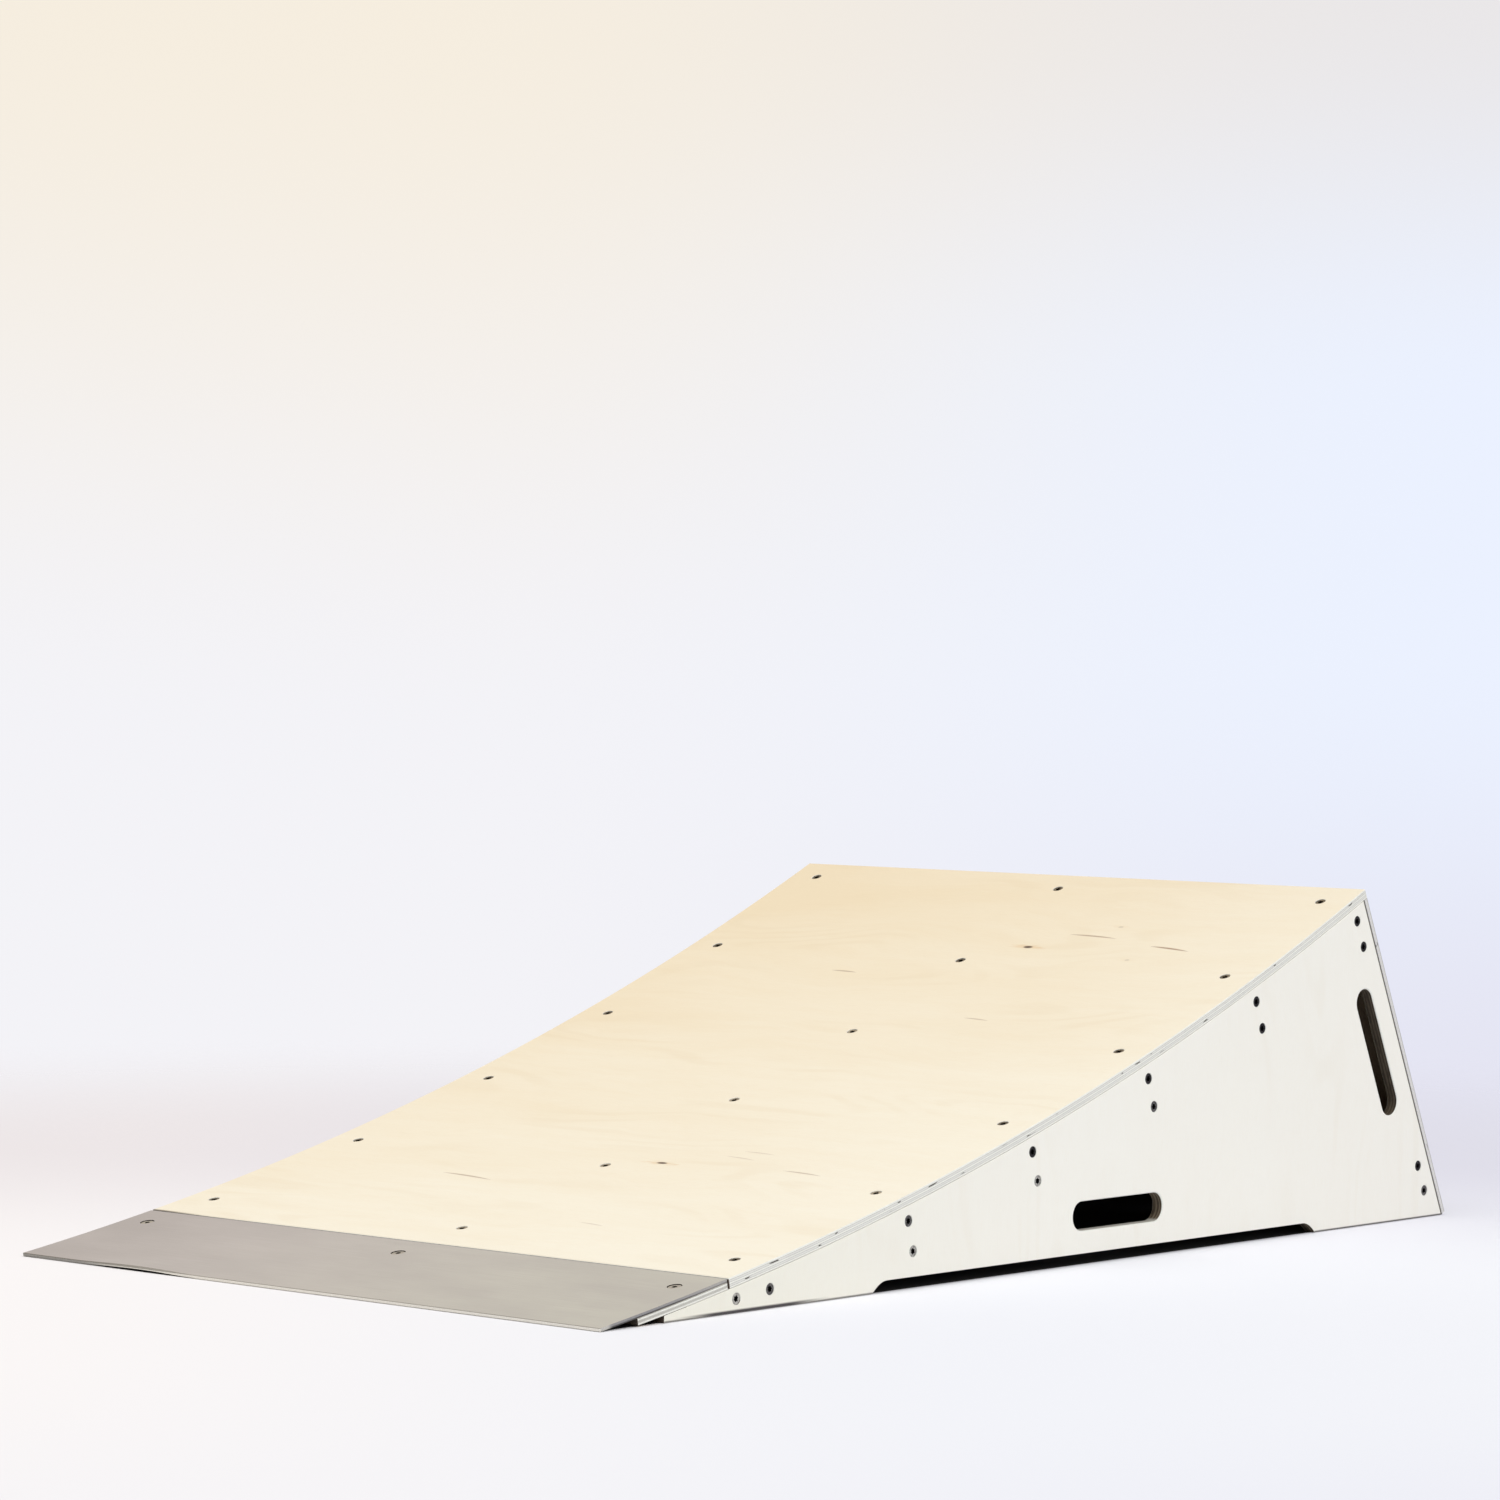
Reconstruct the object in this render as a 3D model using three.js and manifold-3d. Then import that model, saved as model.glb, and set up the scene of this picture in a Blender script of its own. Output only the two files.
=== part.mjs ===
// Launch ramp for boards and bikes: a curved plywood riding sheet on two side panels,
// with a steel entry plate at the low end and a back panel at the high end.
// Millimetres. +Y runs up the ramp, +X is to the right going up, +Z is up.
// The origin is on the floor, at the middle of the ramp's length and width.

import * as THREE from 'three';
import { mergeVertices } from 'three/addons/utils/BufferGeometryUtils.js';
import Module from 'manifold-3d';

const wasm = await Module();
wasm.setup();

// The whole ramp
const rampWidth = 700;
const rideRadius = 4088;
const rideLength = 1128.5;
const tipSlope = THREE.MathUtils.degToRad(8.68);

// Sheet stock
const sheetThickness = 9;
const plateThickness = 3;
const sideThickness = 12;
const backThickness = 6.5;

// Low end: the plate and the board under it stop at the seam, where the sheet starts
const plateLength = 155.3;
const seamWidth = 1.5;
const boardSetback = 44;

// Side panels: the front edge stands back from the tip, and a relief leaves two feet
const sideSetback = 76;
const frontFootLength = 265;
const rearFootLength = 217.5;
const reliefHeight = 10;
const reliefFlare = 20;

// Hand slots: one level, one along the rear edge
const slotLength = 134;
const slotWidth = 26.5;
const levelSlotRun = 688.6;
const levelSlotHeight = 43.7;
const rearSlotInset = 36.5;
const rearSlotDrop = 154.3;

// Cross battens: planed timber on edge under the sheet, the last one against the back panel
const battenWidth = 34;
const battenDepth = 54;
const standingBattens = 4;
const firstBattenRun = 391.5;
const bottomBattenLift = 7;

// Front block: a wedge that carries the seam
const blockAhead = 55;
const blockBehind = 70;
const blockFloorGap = 1.5;

// Countersunk wood screws
const screwRadius = 2.5;
const screwHeadRadius = 5;
const faceScrewLength = 30;
const sideScrewLength = 30;
const socketRadius = 1.9;
const socketDepth = 1.6;
const sidePairSpacing = 27.4;
const frontRowSetback = 46.6;
// How far each face row stands up the ramp from its batten's middle, of the batten's width
const rowOffsetShares = [0.03, 0.16, 0.18, 0.1, -0.18];
// Where the block's side screws are, of its length from the front
const blockScrewShares = [0.54, 0.887];

// Back panel screws
const backScrewRadius = 2;
const backScrewHeadRadius = 4;
const backScrewLength = 30;
const backScrewInset = 110;

// Plate bolts, each in a nut pressed into the block from below
const boltRadius = 3;
const boltHeadRadius = 6;
const boltSocketRadius = 2.2;
const boltSocketDepth = 2.2;
const boltSetback = 32;
const boltSideInset = 29.5;
const boltTipCover = 1.3;
const nutBarrelRadius = 4;
const nutBarrelLength = 8;

// Gaps between pieces, and how far a head sits below its face
const fitGap = 0.3;
const screwSideGap = 0.5;
const headGap = 0.6;
const headSink = 0.5;
const headRim = 0.4;
const tipLength = 3;
const cutOverrun = 2;

// Roundness
const arcSteps = 14;
const screwSides = 8;

// Riding arc: a run is measured along it from the tip, a depth squarely down from it.
// The plate's lower front corner is on the floor at run 0.
const arcCentreY = -(rideRadius + plateThickness) * Math.sin(tipSlope);
const arcCentreZ = (rideRadius + plateThickness) * Math.cos(tipSlope);

function slopeAt(run) {
  return tipSlope + run / rideRadius;
}

function ridePoint(run, depth) {
  const slope = slopeAt(run);
  const radius = rideRadius + depth;
  return new THREE.Vector2(
    arcCentreY + radius * Math.sin(slope),
    arcCentreZ - radius * Math.cos(slope),
  );
}

// Height above the floor of the line at one depth under the riding arc
function heightAt(y, depth) {
  const radius = rideRadius + depth;
  return arcCentreZ - Math.sqrt(radius ** 2 - (y - arcCentreY) ** 2);
}

// Angle about the arc's centre of the line at one depth, at one distance from the tip
function arcAngle(y, depth) {
  return Math.asin((y - arcCentreY) / (rideRadius + depth)) - Math.PI / 2;
}

// Places that follow from the driving sizes
const halfWidth = rampWidth / 2;
const innerHalfWidth = halfWidth - sideThickness - fitGap;
const frameDepth = sheetThickness + fitGap;
const rearSlope = slopeAt(rideLength);
const rearEdge = ridePoint(rideLength, 0);
const sheetStart = plateLength + seamWidth;

// A point given by its inset from the back panel's outer face and its drop down that face
function rearPoint(inset, drop) {
  return new THREE.Vector2(
    rearEdge.x - inset * Math.cos(rearSlope) + drop * Math.sin(rearSlope),
    rearEdge.y - inset * Math.sin(rearSlope) - drop * Math.cos(rearSlope),
  );
}

// The drop at which a line at one inset is at one height above the floor
function dropToHeight(inset, height) {
  return (rearEdge.y - height - inset * Math.sin(rearSlope)) / Math.cos(rearSlope);
}

const backDrop = dropToHeight(backThickness, 0);
const sideInset = backThickness + fitGap;
const rearFloorPoint = rearPoint(sideInset, dropToHeight(sideInset, 0));
const rearmostY = rearPoint(0, backDrop).x;
const foremostY = -plateThickness * Math.sin(tipSlope);

// Materials
const birchFace = new THREE.MeshStandardMaterial({ color: 0xf5ead5, roughness: 0.55 });
const birchSide = new THREE.MeshStandardMaterial({ color: 0xebe6da, roughness: 0.6 });
const plainTimber = new THREE.MeshStandardMaterial({ color: 0xdcc39a, roughness: 0.7 });
const plateSteel = new THREE.MeshStandardMaterial({ color: 0xbfb8b0, roughness: 0.35, metalness: 0.9 });
const screwSteel = new THREE.MeshStandardMaterial({ color: 0xa8a8a8, roughness: 0.4, metalness: 0.9 });

// The frames that pieces are placed in
const ramp = new THREE.Group();
const fromTip = new THREE.Group();
fromTip.position.y = -(foremostY + rearmostY) / 2;
ramp.add(fromTip);

// A frame on the riding arc: its +Y runs up the ramp and its +Z stands square off the face
function frameOnArc(run) {
  const frame = new THREE.Group();
  const point = ridePoint(run, 0);
  frame.position.set(0, point.x, point.y);
  frame.rotation.x = slopeAt(run);
  fromTip.add(frame);
  return frame;
}

const rearFrame = frameOnArc(rideLength);

function addPiece(parent, name, geometry, material, x = 0, y = 0, z = 0) {
  const piece = new THREE.Mesh(geometry, material);
  piece.name = name;
  piece.position.set(x, y, z);
  parent.add(piece);
  return piece;
}

// Solids: cutting is done in the piece's own space
function toSolid(geometry) {
  const plain = geometry.clone();
  plain.deleteAttribute('normal');
  plain.deleteAttribute('uv');
  const merged = mergeVertices(plain);
  return new wasm.Manifold(new wasm.Mesh({
    numProp: 3,
    vertProperties: new Float32Array(merged.attributes.position.array),
    triVerts: new Uint32Array(merged.index.array),
  }));
}

function toGeometry(solid) {
  const mesh = solid.getMesh();
  const geometry = new THREE.BufferGeometry();
  geometry.setAttribute('position', new THREE.BufferAttribute(mesh.vertProperties, 3));
  geometry.setIndex(new THREE.BufferAttribute(mesh.triVerts, 1));
  geometry.computeVertexNormals();
  return geometry;
}

// Cuts out of a piece the room that each fastener needs
function cutRoom(piece, fasteners) {
  piece.updateWorldMatrix(true, false);
  const worldToPiece = piece.matrixWorld.clone().invert();
  let solid = toSolid(piece.geometry);
  for (const fastener of fasteners) {
    fastener.updateWorldMatrix(true, false);
    const fastenerToPiece = worldToPiece.clone().multiply(fastener.matrixWorld);
    const room = fastener.userData.room.clone().applyMatrix4(fastenerToPiece);
    solid = solid.subtract(toSolid(room));
  }
  piece.geometry = toGeometry(solid);
}

// Outlines are drawn with x as distance from the tip and y as height, and extruded along X
const outlineToRamp = new THREE.Matrix4().makeBasis(
  new THREE.Vector3(0, 1, 0),
  new THREE.Vector3(0, 0, 1),
  new THREE.Vector3(1, 0, 0),
);

function extrudeAcross(outline, width, curveSegments) {
  const geometry = new THREE.ExtrudeGeometry(outline, {
    depth: width,
    bevelEnabled: false,
    curveSegments,
  });
  geometry.translate(0, 0, -width / 2);
  geometry.applyMatrix4(outlineToRamp);
  return geometry;
}

// A curved layer between two runs and two depths
function arcLayer(startRun, endRun, topDepth, bottomDepth) {
  const startAngle = slopeAt(startRun) - Math.PI / 2;
  const endAngle = slopeAt(endRun) - Math.PI / 2;
  const outline = new THREE.Shape();
  outline.absarc(arcCentreY, arcCentreZ, rideRadius + bottomDepth, startAngle, endAngle, false);
  outline.absarc(arcCentreY, arcCentreZ, rideRadius + topDepth, endAngle, startAngle, true);
  outline.closePath();
  return outline;
}

// A slot with round ends, from its centre and the direction of its length
function slotPath(centre, angle) {
  const reach = (slotLength - slotWidth) / 2;
  const along = new THREE.Vector2(Math.cos(angle), Math.sin(angle)).multiplyScalar(reach);
  const high = centre.clone().add(along);
  const low = centre.clone().sub(along);
  const quarter = Math.PI / 2;
  const path = new THREE.Path();
  path.absarc(high.x, high.y, slotWidth / 2, angle - quarter, angle + quarter, false);
  path.absarc(low.x, low.y, slotWidth / 2, angle + quarter, angle + 3 * quarter, false);
  path.closePath();
  return path;
}

// Countersunk fasteners, pointing down with the rim of the seat at height 0.
// The body is the fastener, and the room is the hole that it goes in.
function fastenerKind(radius, headRadius, length, driveRadius, driveDepth) {
  const coneTop = -headSink - headRim;
  const coneBottom = coneTop - (headRadius - radius);
  const roomRadius = radius + fitGap;
  const roomHeadRadius = headRadius + headGap;
  const roomBottom = -headSink - length - fitGap;
  const body = new THREE.LatheGeometry([
    new THREE.Vector2(0, -headSink - length),
    new THREE.Vector2(radius, -headSink - length + tipLength),
    new THREE.Vector2(radius, coneBottom),
    new THREE.Vector2(headRadius, coneTop),
    new THREE.Vector2(headRadius, -headSink),
    new THREE.Vector2(driveRadius, -headSink),
    new THREE.Vector2(driveRadius, -headSink - driveDepth),
    new THREE.Vector2(0, -headSink - driveDepth),
  ], screwSides);
  const room = new THREE.LatheGeometry([
    new THREE.Vector2(0, roomBottom),
    new THREE.Vector2(roomRadius, roomBottom),
    new THREE.Vector2(roomRadius, coneTop - (roomHeadRadius - roomRadius)),
    new THREE.Vector2(roomHeadRadius, coneTop),
    new THREE.Vector2(roomHeadRadius, cutOverrun),
    new THREE.Vector2(0, cutOverrun),
  ], screwSides);
  body.rotateX(Math.PI / 2);
  room.rotateX(Math.PI / 2);
  return { body, room };
}

function placeRoom(holder, kind, parent, x, y, z, turnX = 0, turnY = 0) {
  holder.userData.room = kind.room;
  holder.position.set(x, y, z);
  holder.rotation.set(turnX, turnY, 0);
  parent.add(holder);
  return holder;
}

function addFastener(name, kind, parent, x, y, z, turnX = 0, turnY = 0) {
  const fastener = new THREE.Mesh(kind.body, screwSteel);
  fastener.name = name;
  return placeRoom(fastener, kind, parent, x, y, z, turnX, turnY);
}

const boltRun = plateLength - boltSetback;
const boltRoomUnder = heightAt(ridePoint(boltRun, 0).x, 0) - blockFloorGap;
const boltLength = boltRoomUnder / Math.cos(slopeAt(boltRun)) - headSink - boltTipCover;

const faceScrew = fastenerKind(screwRadius, screwHeadRadius, faceScrewLength, socketRadius, socketDepth);
const sideScrew = fastenerKind(screwRadius, screwHeadRadius, sideScrewLength, socketRadius, socketDepth);
const backScrew = fastenerKind(backScrewRadius, backScrewHeadRadius, backScrewLength, 0, 0);
const plateBolt = fastenerKind(boltRadius, boltHeadRadius, boltLength, boltSocketRadius, boltSocketDepth);

const sides = [
  { name: 'left', sign: -1 },
  { name: 'right', sign: 1 },
];
const across = [
  { name: 'left', sign: -1 },
  { name: 'middle', sign: 0 },
  { name: 'right', sign: 1 },
];

// Face screws: the outer ones stand clear of the side screws' tips
const faceScrewX = halfWidth - sideScrewLength - screwRadius - screwSideGap;

function addFaceRow(number, run) {
  const frame = frameOnArc(run);
  return across.map(({ name, sign }) =>
    addFastener(`face_screw_${number}_${name}`, faceScrew, frame, sign * faceScrewX, 0, 0));
}

// A side screw points inwards across the ramp
function addSideScrew(side, name, parent, y, z) {
  const turn = side.sign * Math.PI / 2;
  const fullName = `side_screw_${side.name}_${name}`;
  return addFastener(fullName, sideScrew, parent, side.sign * halfWidth, y, z, 0, turn);
}

function addSidePair(side, name, parent, y, z) {
  const offset = sidePairSpacing / 2;
  return [
    addSideScrew(side, `${name}_upper`, parent, y, z + offset),
    addSideScrew(side, `${name}_lower`, parent, y, z - offset),
  ];
}

function battenGeometry() {
  return new THREE.BoxGeometry(2 * innerHalfWidth, battenWidth, battenDepth);
}

const battenCentreDepth = frameDepth + battenDepth / 2;
const rearBattenInset = backThickness + fitGap + battenWidth / 2;
const sideFasteners = { left: [], right: [] };
const sheetFasteners = [];

// One batten with its row of face screws above and its pair of screws at each end
function addBatten(name, frame, inset, fasteners) {
  const batten = addPiece(frame, name, battenGeometry(), plainTimber, 0, -inset, -battenCentreDepth);
  for (const side of sides) {
    const pair = addSidePair(side, name, frame, -inset, -battenCentreDepth);
    sideFasteners[side.name].push(...pair);
    fasteners.push(...pair);
  }
  cutRoom(batten, fasteners);
}

const rearBattenRun = rideLength - rearBattenInset;
const battenPitch = (rearBattenRun - firstBattenRun) / standingBattens;

function addStandingBattens() {
  for (let i = 0; i < standingBattens; i += 1) {
    const run = firstBattenRun + i * battenPitch;
    const row = addFaceRow(i + 2, run + rowOffsetShares[i] * battenWidth);
    sheetFasteners.push(...row);
    addBatten(`batten_${i + 1}`, frameOnArc(run), 0, row);
  }
}

// Holes for the back panel's screws, which point in through the panel
function backScrewRooms(drop) {
  return across.map(({ sign }) =>
    placeRoom(new THREE.Object3D(), backScrew, rearFrame,
      sign * (halfWidth - backScrewInset), 0, -drop, -Math.PI / 2));
}

function addRearBattens() {
  const rowOffset = rowOffsetShares[standingBattens] * battenWidth;
  const row = addFaceRow(standingBattens + 2, rearBattenRun + rowOffset);
  sheetFasteners.push(...row);
  const topRooms = backScrewRooms(battenCentreDepth);
  addBatten('rear_top_batten', rearFrame, rearBattenInset, [...row, ...topRooms]);

  // The bottom batten's front lower corner is its lowest point. The lower screw of each
  // end pair is left out, and its hole is there.
  const lowestDrop = dropToHeight(rearBattenInset + battenWidth / 2, bottomBattenLift);
  const drop = lowestDrop - battenDepth / 2;
  const batten = addPiece(rearFrame, 'rear_bottom_batten', battenGeometry(), plainTimber,
    0, -rearBattenInset, -drop);
  const bottomRooms = backScrewRooms(drop);
  const fasteners = [...bottomRooms];
  for (const side of sides) {
    const offset = sidePairSpacing / 2;
    const screw = addSideScrew(side, 'rear_bottom_batten_upper', rearFrame,
      -rearBattenInset, -drop + offset);
    const lowerHole = placeRoom(new THREE.Object3D(), sideScrew, rearFrame,
      side.sign * halfWidth, -rearBattenInset, -drop - offset, 0, side.sign * Math.PI / 2);
    sideFasteners[side.name].push(screw, lowerHole);
    fasteners.push(screw, lowerHole);
  }
  cutRoom(batten, fasteners);

  const panel = addPiece(rearFrame, 'back_panel',
    new THREE.BoxGeometry(rampWidth, backThickness, backDrop - frameDepth), birchSide,
    0, -backThickness / 2, -(backDrop + frameDepth) / 2);
  cutRoom(panel, [...topRooms, ...bottomRooms]);
}

// The wedge under the seam, with the plate, its board and their bolts
function addFrontEnd() {
  const front = ridePoint(plateLength - blockAhead, 0).x;
  const rear = ridePoint(plateLength + blockBehind, 0).x;
  const outline = new THREE.Shape();
  outline.moveTo(front, blockFloorGap);
  outline.lineTo(rear, blockFloorGap);
  outline.absarc(arcCentreY, arcCentreZ, rideRadius + frameDepth,
    arcAngle(rear, frameDepth), arcAngle(front, frameDepth), true);
  outline.closePath();
  const block = addPiece(fromTip, 'front_block',
    extrudeAcross(outline, 2 * innerHalfWidth, arcSteps), plainTimber);

  const row = addFaceRow(1, sheetStart + frontRowSetback);
  sheetFasteners.push(...row);
  const fasteners = [...row];
  for (const side of sides) {
    blockScrewShares.forEach((share, i) => {
      const y = front + share * (rear - front);
      const middle = (blockFloorGap + heightAt(y, frameDepth)) / 2;
      const screw = addSideScrew(side, `front_block_${i + 1}`, fromTip, y, middle);
      sideFasteners[side.name].push(screw);
      fasteners.push(screw);
    });
  }

  const boltFrame = frameOnArc(boltRun);
  const boltX = halfWidth - boltSideInset;
  const bolts = across.map(({ name, sign }) =>
    addFastener(`plate_bolt_${name}`, plateBolt, boltFrame, sign * boltX, 0, 0));
  const barrel = new THREE.CylinderGeometry(
    nutBarrelRadius + fitGap, nutBarrelRadius + fitGap, nutBarrelLength + cutOverrun, screwSides);
  barrel.rotateX(Math.PI / 2);
  const boltFoot = ridePoint(boltRun, boltRoomUnder).x;
  const barrels = across.map(({ sign }) =>
    placeRoom(new THREE.Object3D(), { room: barrel }, fromTip, sign * boltX,
      boltFoot, blockFloorGap + (nutBarrelLength - cutOverrun) / 2, slopeAt(boltRun)));
  cutRoom(block, [...fasteners, ...bolts, ...barrels]);

  const board = addPiece(fromTip, 'front_board',
    extrudeAcross(arcLayer(boardSetback, plateLength, plateThickness + fitGap, sheetThickness),
      rampWidth, arcSteps), birchFace);
  cutRoom(board, bolts);
  const plate = addPiece(fromTip, 'entry_plate',
    extrudeAcross(arcLayer(0, plateLength, 0, plateThickness), rampWidth, arcSteps), plateSteel);
  cutRoom(plate, bolts);
}

function addRidingSheet() {
  const sheet = addPiece(fromTip, 'riding_sheet',
    extrudeAcross(arcLayer(sheetStart, rideLength, 0, sheetThickness), rampWidth, arcSteps), birchFace);
  cutRoom(sheet, sheetFasteners);
}

// A side panel: floor, relief, rear edge parallel to the back panel, and the arc on top
function sideOutline() {
  const frontFootEnd = sideSetback + frontFootLength;
  const rearFootStart = rearFloorPoint.x - rearFootLength;
  const rearTop = rearPoint(sideInset, frameDepth);
  const outline = new THREE.Shape();
  outline.moveTo(sideSetback, 0);
  outline.lineTo(frontFootEnd, 0);
  outline.quadraticCurveTo(frontFootEnd + reliefFlare / 2, reliefHeight,
    frontFootEnd + reliefFlare, reliefHeight);
  outline.lineTo(rearFootStart - reliefFlare, reliefHeight);
  outline.quadraticCurveTo(rearFootStart - reliefFlare / 2, reliefHeight, rearFootStart, 0);
  outline.lineTo(rearFloorPoint.x, 0);
  outline.absarc(arcCentreY, arcCentreZ, rideRadius + frameDepth,
    arcAngle(rearTop.x, frameDepth), arcAngle(sideSetback, frameDepth), true);
  outline.closePath();
  outline.holes.push(slotPath(new THREE.Vector2(levelSlotRun, levelSlotHeight), 0));
  outline.holes.push(slotPath(rearPoint(sideInset + rearSlotInset, rearSlotDrop),
    rearSlope + Math.PI / 2));
  return outline;
}

function addSidePanels() {
  for (const side of sides) {
    const panel = addPiece(fromTip, `side_panel_${side.name}`,
      extrudeAcross(sideOutline(), sideThickness, arcSteps), birchSide,
      side.sign * (halfWidth - sideThickness / 2));
    cutRoom(panel, sideFasteners[side.name]);
  }
}

addStandingBattens();
addRearBattens();
addFrontEnd();
addRidingSheet();
addSidePanels();

export default ramp;
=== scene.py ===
# Launch ramp: the finished surfaces of every piece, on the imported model's frame.
# Metres. +Y runs up the ramp, +X is to the right going up, +Z is up.

import math
import random
from collections import namedtuple
from functools import partialmethod

import bmesh
import bpy
from mathutils import Matrix, Vector


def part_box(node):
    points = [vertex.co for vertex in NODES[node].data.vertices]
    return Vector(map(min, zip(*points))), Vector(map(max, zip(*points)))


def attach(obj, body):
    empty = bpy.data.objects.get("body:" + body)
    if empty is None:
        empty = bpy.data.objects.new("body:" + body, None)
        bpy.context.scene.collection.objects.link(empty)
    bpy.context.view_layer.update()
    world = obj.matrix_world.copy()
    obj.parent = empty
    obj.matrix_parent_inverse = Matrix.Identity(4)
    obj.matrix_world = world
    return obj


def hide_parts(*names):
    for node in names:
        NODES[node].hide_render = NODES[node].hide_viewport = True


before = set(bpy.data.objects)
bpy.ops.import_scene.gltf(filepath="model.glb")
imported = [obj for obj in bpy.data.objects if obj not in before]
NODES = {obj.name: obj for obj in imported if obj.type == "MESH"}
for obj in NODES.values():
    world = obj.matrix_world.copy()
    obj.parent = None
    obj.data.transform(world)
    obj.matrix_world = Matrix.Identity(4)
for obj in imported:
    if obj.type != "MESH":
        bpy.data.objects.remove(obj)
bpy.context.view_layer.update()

MM = 0.001

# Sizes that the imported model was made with
RIDE_RADIUS = 4088 * MM
RIDE_LENGTH = 1128.5 * MM
TIP_SLOPE = math.radians(8.68)
SHEET_THICKNESS = 9 * MM
PLATE_THICKNESS = 3 * MM
SIDE_THICKNESS = 12 * MM
BACK_THICKNESS = 6.5 * MM
PLATE_LENGTH = 155.3 * MM
SEAM_WIDTH = 1.5 * MM
BOARD_SETBACK = 44 * MM
FRONT_FOOT_LENGTH = 265 * MM
REAR_FOOT_LENGTH = 217.5 * MM
RELIEF_HEIGHT = 10 * MM
RELIEF_FLARE = 20 * MM
SLOT_LENGTH = 134 * MM
SLOT_WIDTH = 26.5 * MM
LEVEL_SLOT_RUN = 688.6 * MM
LEVEL_SLOT_HEIGHT = 43.7 * MM
REAR_SLOT_INSET = 36.5 * MM
REAR_SLOT_DROP = 154.3 * MM
BATTEN_WIDTH = 34 * MM
BATTEN_DEPTH = 54 * MM
STANDING_BATTENS = 4
BACK_SCREW_INSET = 110 * MM
FIT_GAP = 0.3 * MM
HEAD_SINK = 0.5 * MM

HALF_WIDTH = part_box("riding_sheet")[1][0]
INNER_HALF_WIDTH = HALF_WIDTH - SIDE_THICKNESS - FIT_GAP
FRAME_DEPTH = SHEET_THICKNESS + FIT_GAP
SHEET_START = PLATE_LENGTH + SEAM_WIDTH

# How finely curves are drawn
ARC_SECTIONS = 72
RIM_STEPS = 48
LOBES = 6
CURVE_STEPS = 12
ROUND_STEPS = 3
SHARP_ANGLE = math.radians(12)

# Edge rounding
PLY_ROUNDING = 0.45 * MM
PLATE_ROUNDING = 0.35 * MM
TIMBER_ROUNDING = 2.2 * MM

# The riding arc: a run is measured along it from the tip, a rise squarely up from it.
# The plate's lower front corner is on the floor at run 0.
TIP_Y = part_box("entry_plate")[0][1] + PLATE_THICKNESS * math.sin(TIP_SLOPE)
ARC_Y = TIP_Y - (RIDE_RADIUS + PLATE_THICKNESS) * math.sin(TIP_SLOPE)
ARC_Z = (RIDE_RADIUS + PLATE_THICKNESS) * math.cos(TIP_SLOPE)


def slope_at(run):
    return TIP_SLOPE + run / RIDE_RADIUS


def arc_point(place):
    """The point in the frame for (across, run, rise)."""
    slope = slope_at(place[1])
    radius = RIDE_RADIUS - place[2]
    return Vector((place[0], ARC_Y + radius * math.sin(slope), ARC_Z - radius * math.cos(slope)))


def arc_place(point):
    """(across, run, rise) for a point in the frame."""
    slope = math.atan2(point[1] - ARC_Y, ARC_Z - point[2])
    radius = math.hypot(point[1] - ARC_Y, ARC_Z - point[2])
    return Vector((point[0], (slope - TIP_SLOPE) * RIDE_RADIUS, RIDE_RADIUS - radius))


REAR_SLOPE = slope_at(RIDE_LENGTH)
REAR_EDGE = arc_point((0, RIDE_LENGTH, 0))
REAR_OUT = Vector((0, math.cos(REAR_SLOPE), math.sin(REAR_SLOPE)))


def rear_point(place):
    """The point in the frame for (across, ahead, rise) from the rear top edge, ahead being out."""
    across, ahead, rise = place
    y = REAR_EDGE.y + ahead * math.cos(REAR_SLOPE) - rise * math.sin(REAR_SLOPE)
    z = REAR_EDGE.z + ahead * math.sin(REAR_SLOPE) + rise * math.cos(REAR_SLOPE)
    return Vector((across, y, z))


def rear_place(point):
    """(across, ahead, rise) for a point in the frame."""
    y = point[1] - REAR_EDGE.y
    z = point[2] - REAR_EDGE.z
    ahead = y * math.cos(REAR_SLOPE) + z * math.sin(REAR_SLOPE)
    rise = z * math.cos(REAR_SLOPE) - y * math.sin(REAR_SLOPE)
    return Vector((point[0], ahead, rise))


def drop_to_floor(inset):
    """How far down the back panel's direction a line at one inset reaches the floor."""
    return (REAR_EDGE.z - inset * math.sin(REAR_SLOPE)) / math.cos(REAR_SLOPE)


def box_middle(node):
    low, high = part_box(node)
    return (Vector(low) + Vector(high)) / 2


# The hand slots: the middle of each and the way that it lies
SIDE_INSET = BACK_THICKNESS + FIT_GAP
PANEL_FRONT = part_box("side_panel_right")[0][1]
LEVEL_SLOT = (Vector((0, TIP_Y + LEVEL_SLOT_RUN, LEVEL_SLOT_HEIGHT)), 0.0)
REAR_SLOT = (
    rear_point((0, -SIDE_INSET - REAR_SLOT_INSET, -REAR_SLOT_DROP)),
    REAR_SLOPE + math.pi / 2,
)
SLOTS = [LEVEL_SLOT, REAR_SLOT]
SLOT_RIM = 0.9 * MM


# Meshes


def link(name, data):
    thing = bpy.data.objects.new(name, data)
    bpy.context.scene.collection.objects.link(thing)
    return thing


def link_mesh(name, work):
    """A mesh object from a bmesh, which is freed."""
    bmesh.ops.recalc_face_normals(work, faces=work.faces[:])
    mesh = bpy.data.meshes.new(name)
    work.to_mesh(mesh)
    work.free()
    return link(name, mesh)


def rounded_box(low, high, rounding):
    """A box with rounded edges, between two corners."""
    work = bmesh.new()
    size = Vector(high) - Vector(low)
    matrix = Matrix.LocRotScale((Vector(low) + Vector(high)) / 2, None, size)
    bmesh.ops.create_cube(work, size=1, matrix=matrix)
    bmesh.ops.bevel(
        work,
        geom=work.edges[:],
        offset=rounding,
        offset_type="OFFSET",
        segments=ROUND_STEPS,
        profile=0.5,
        affect="EDGES",
        clamp_overlap=True,
    )
    return work


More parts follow.
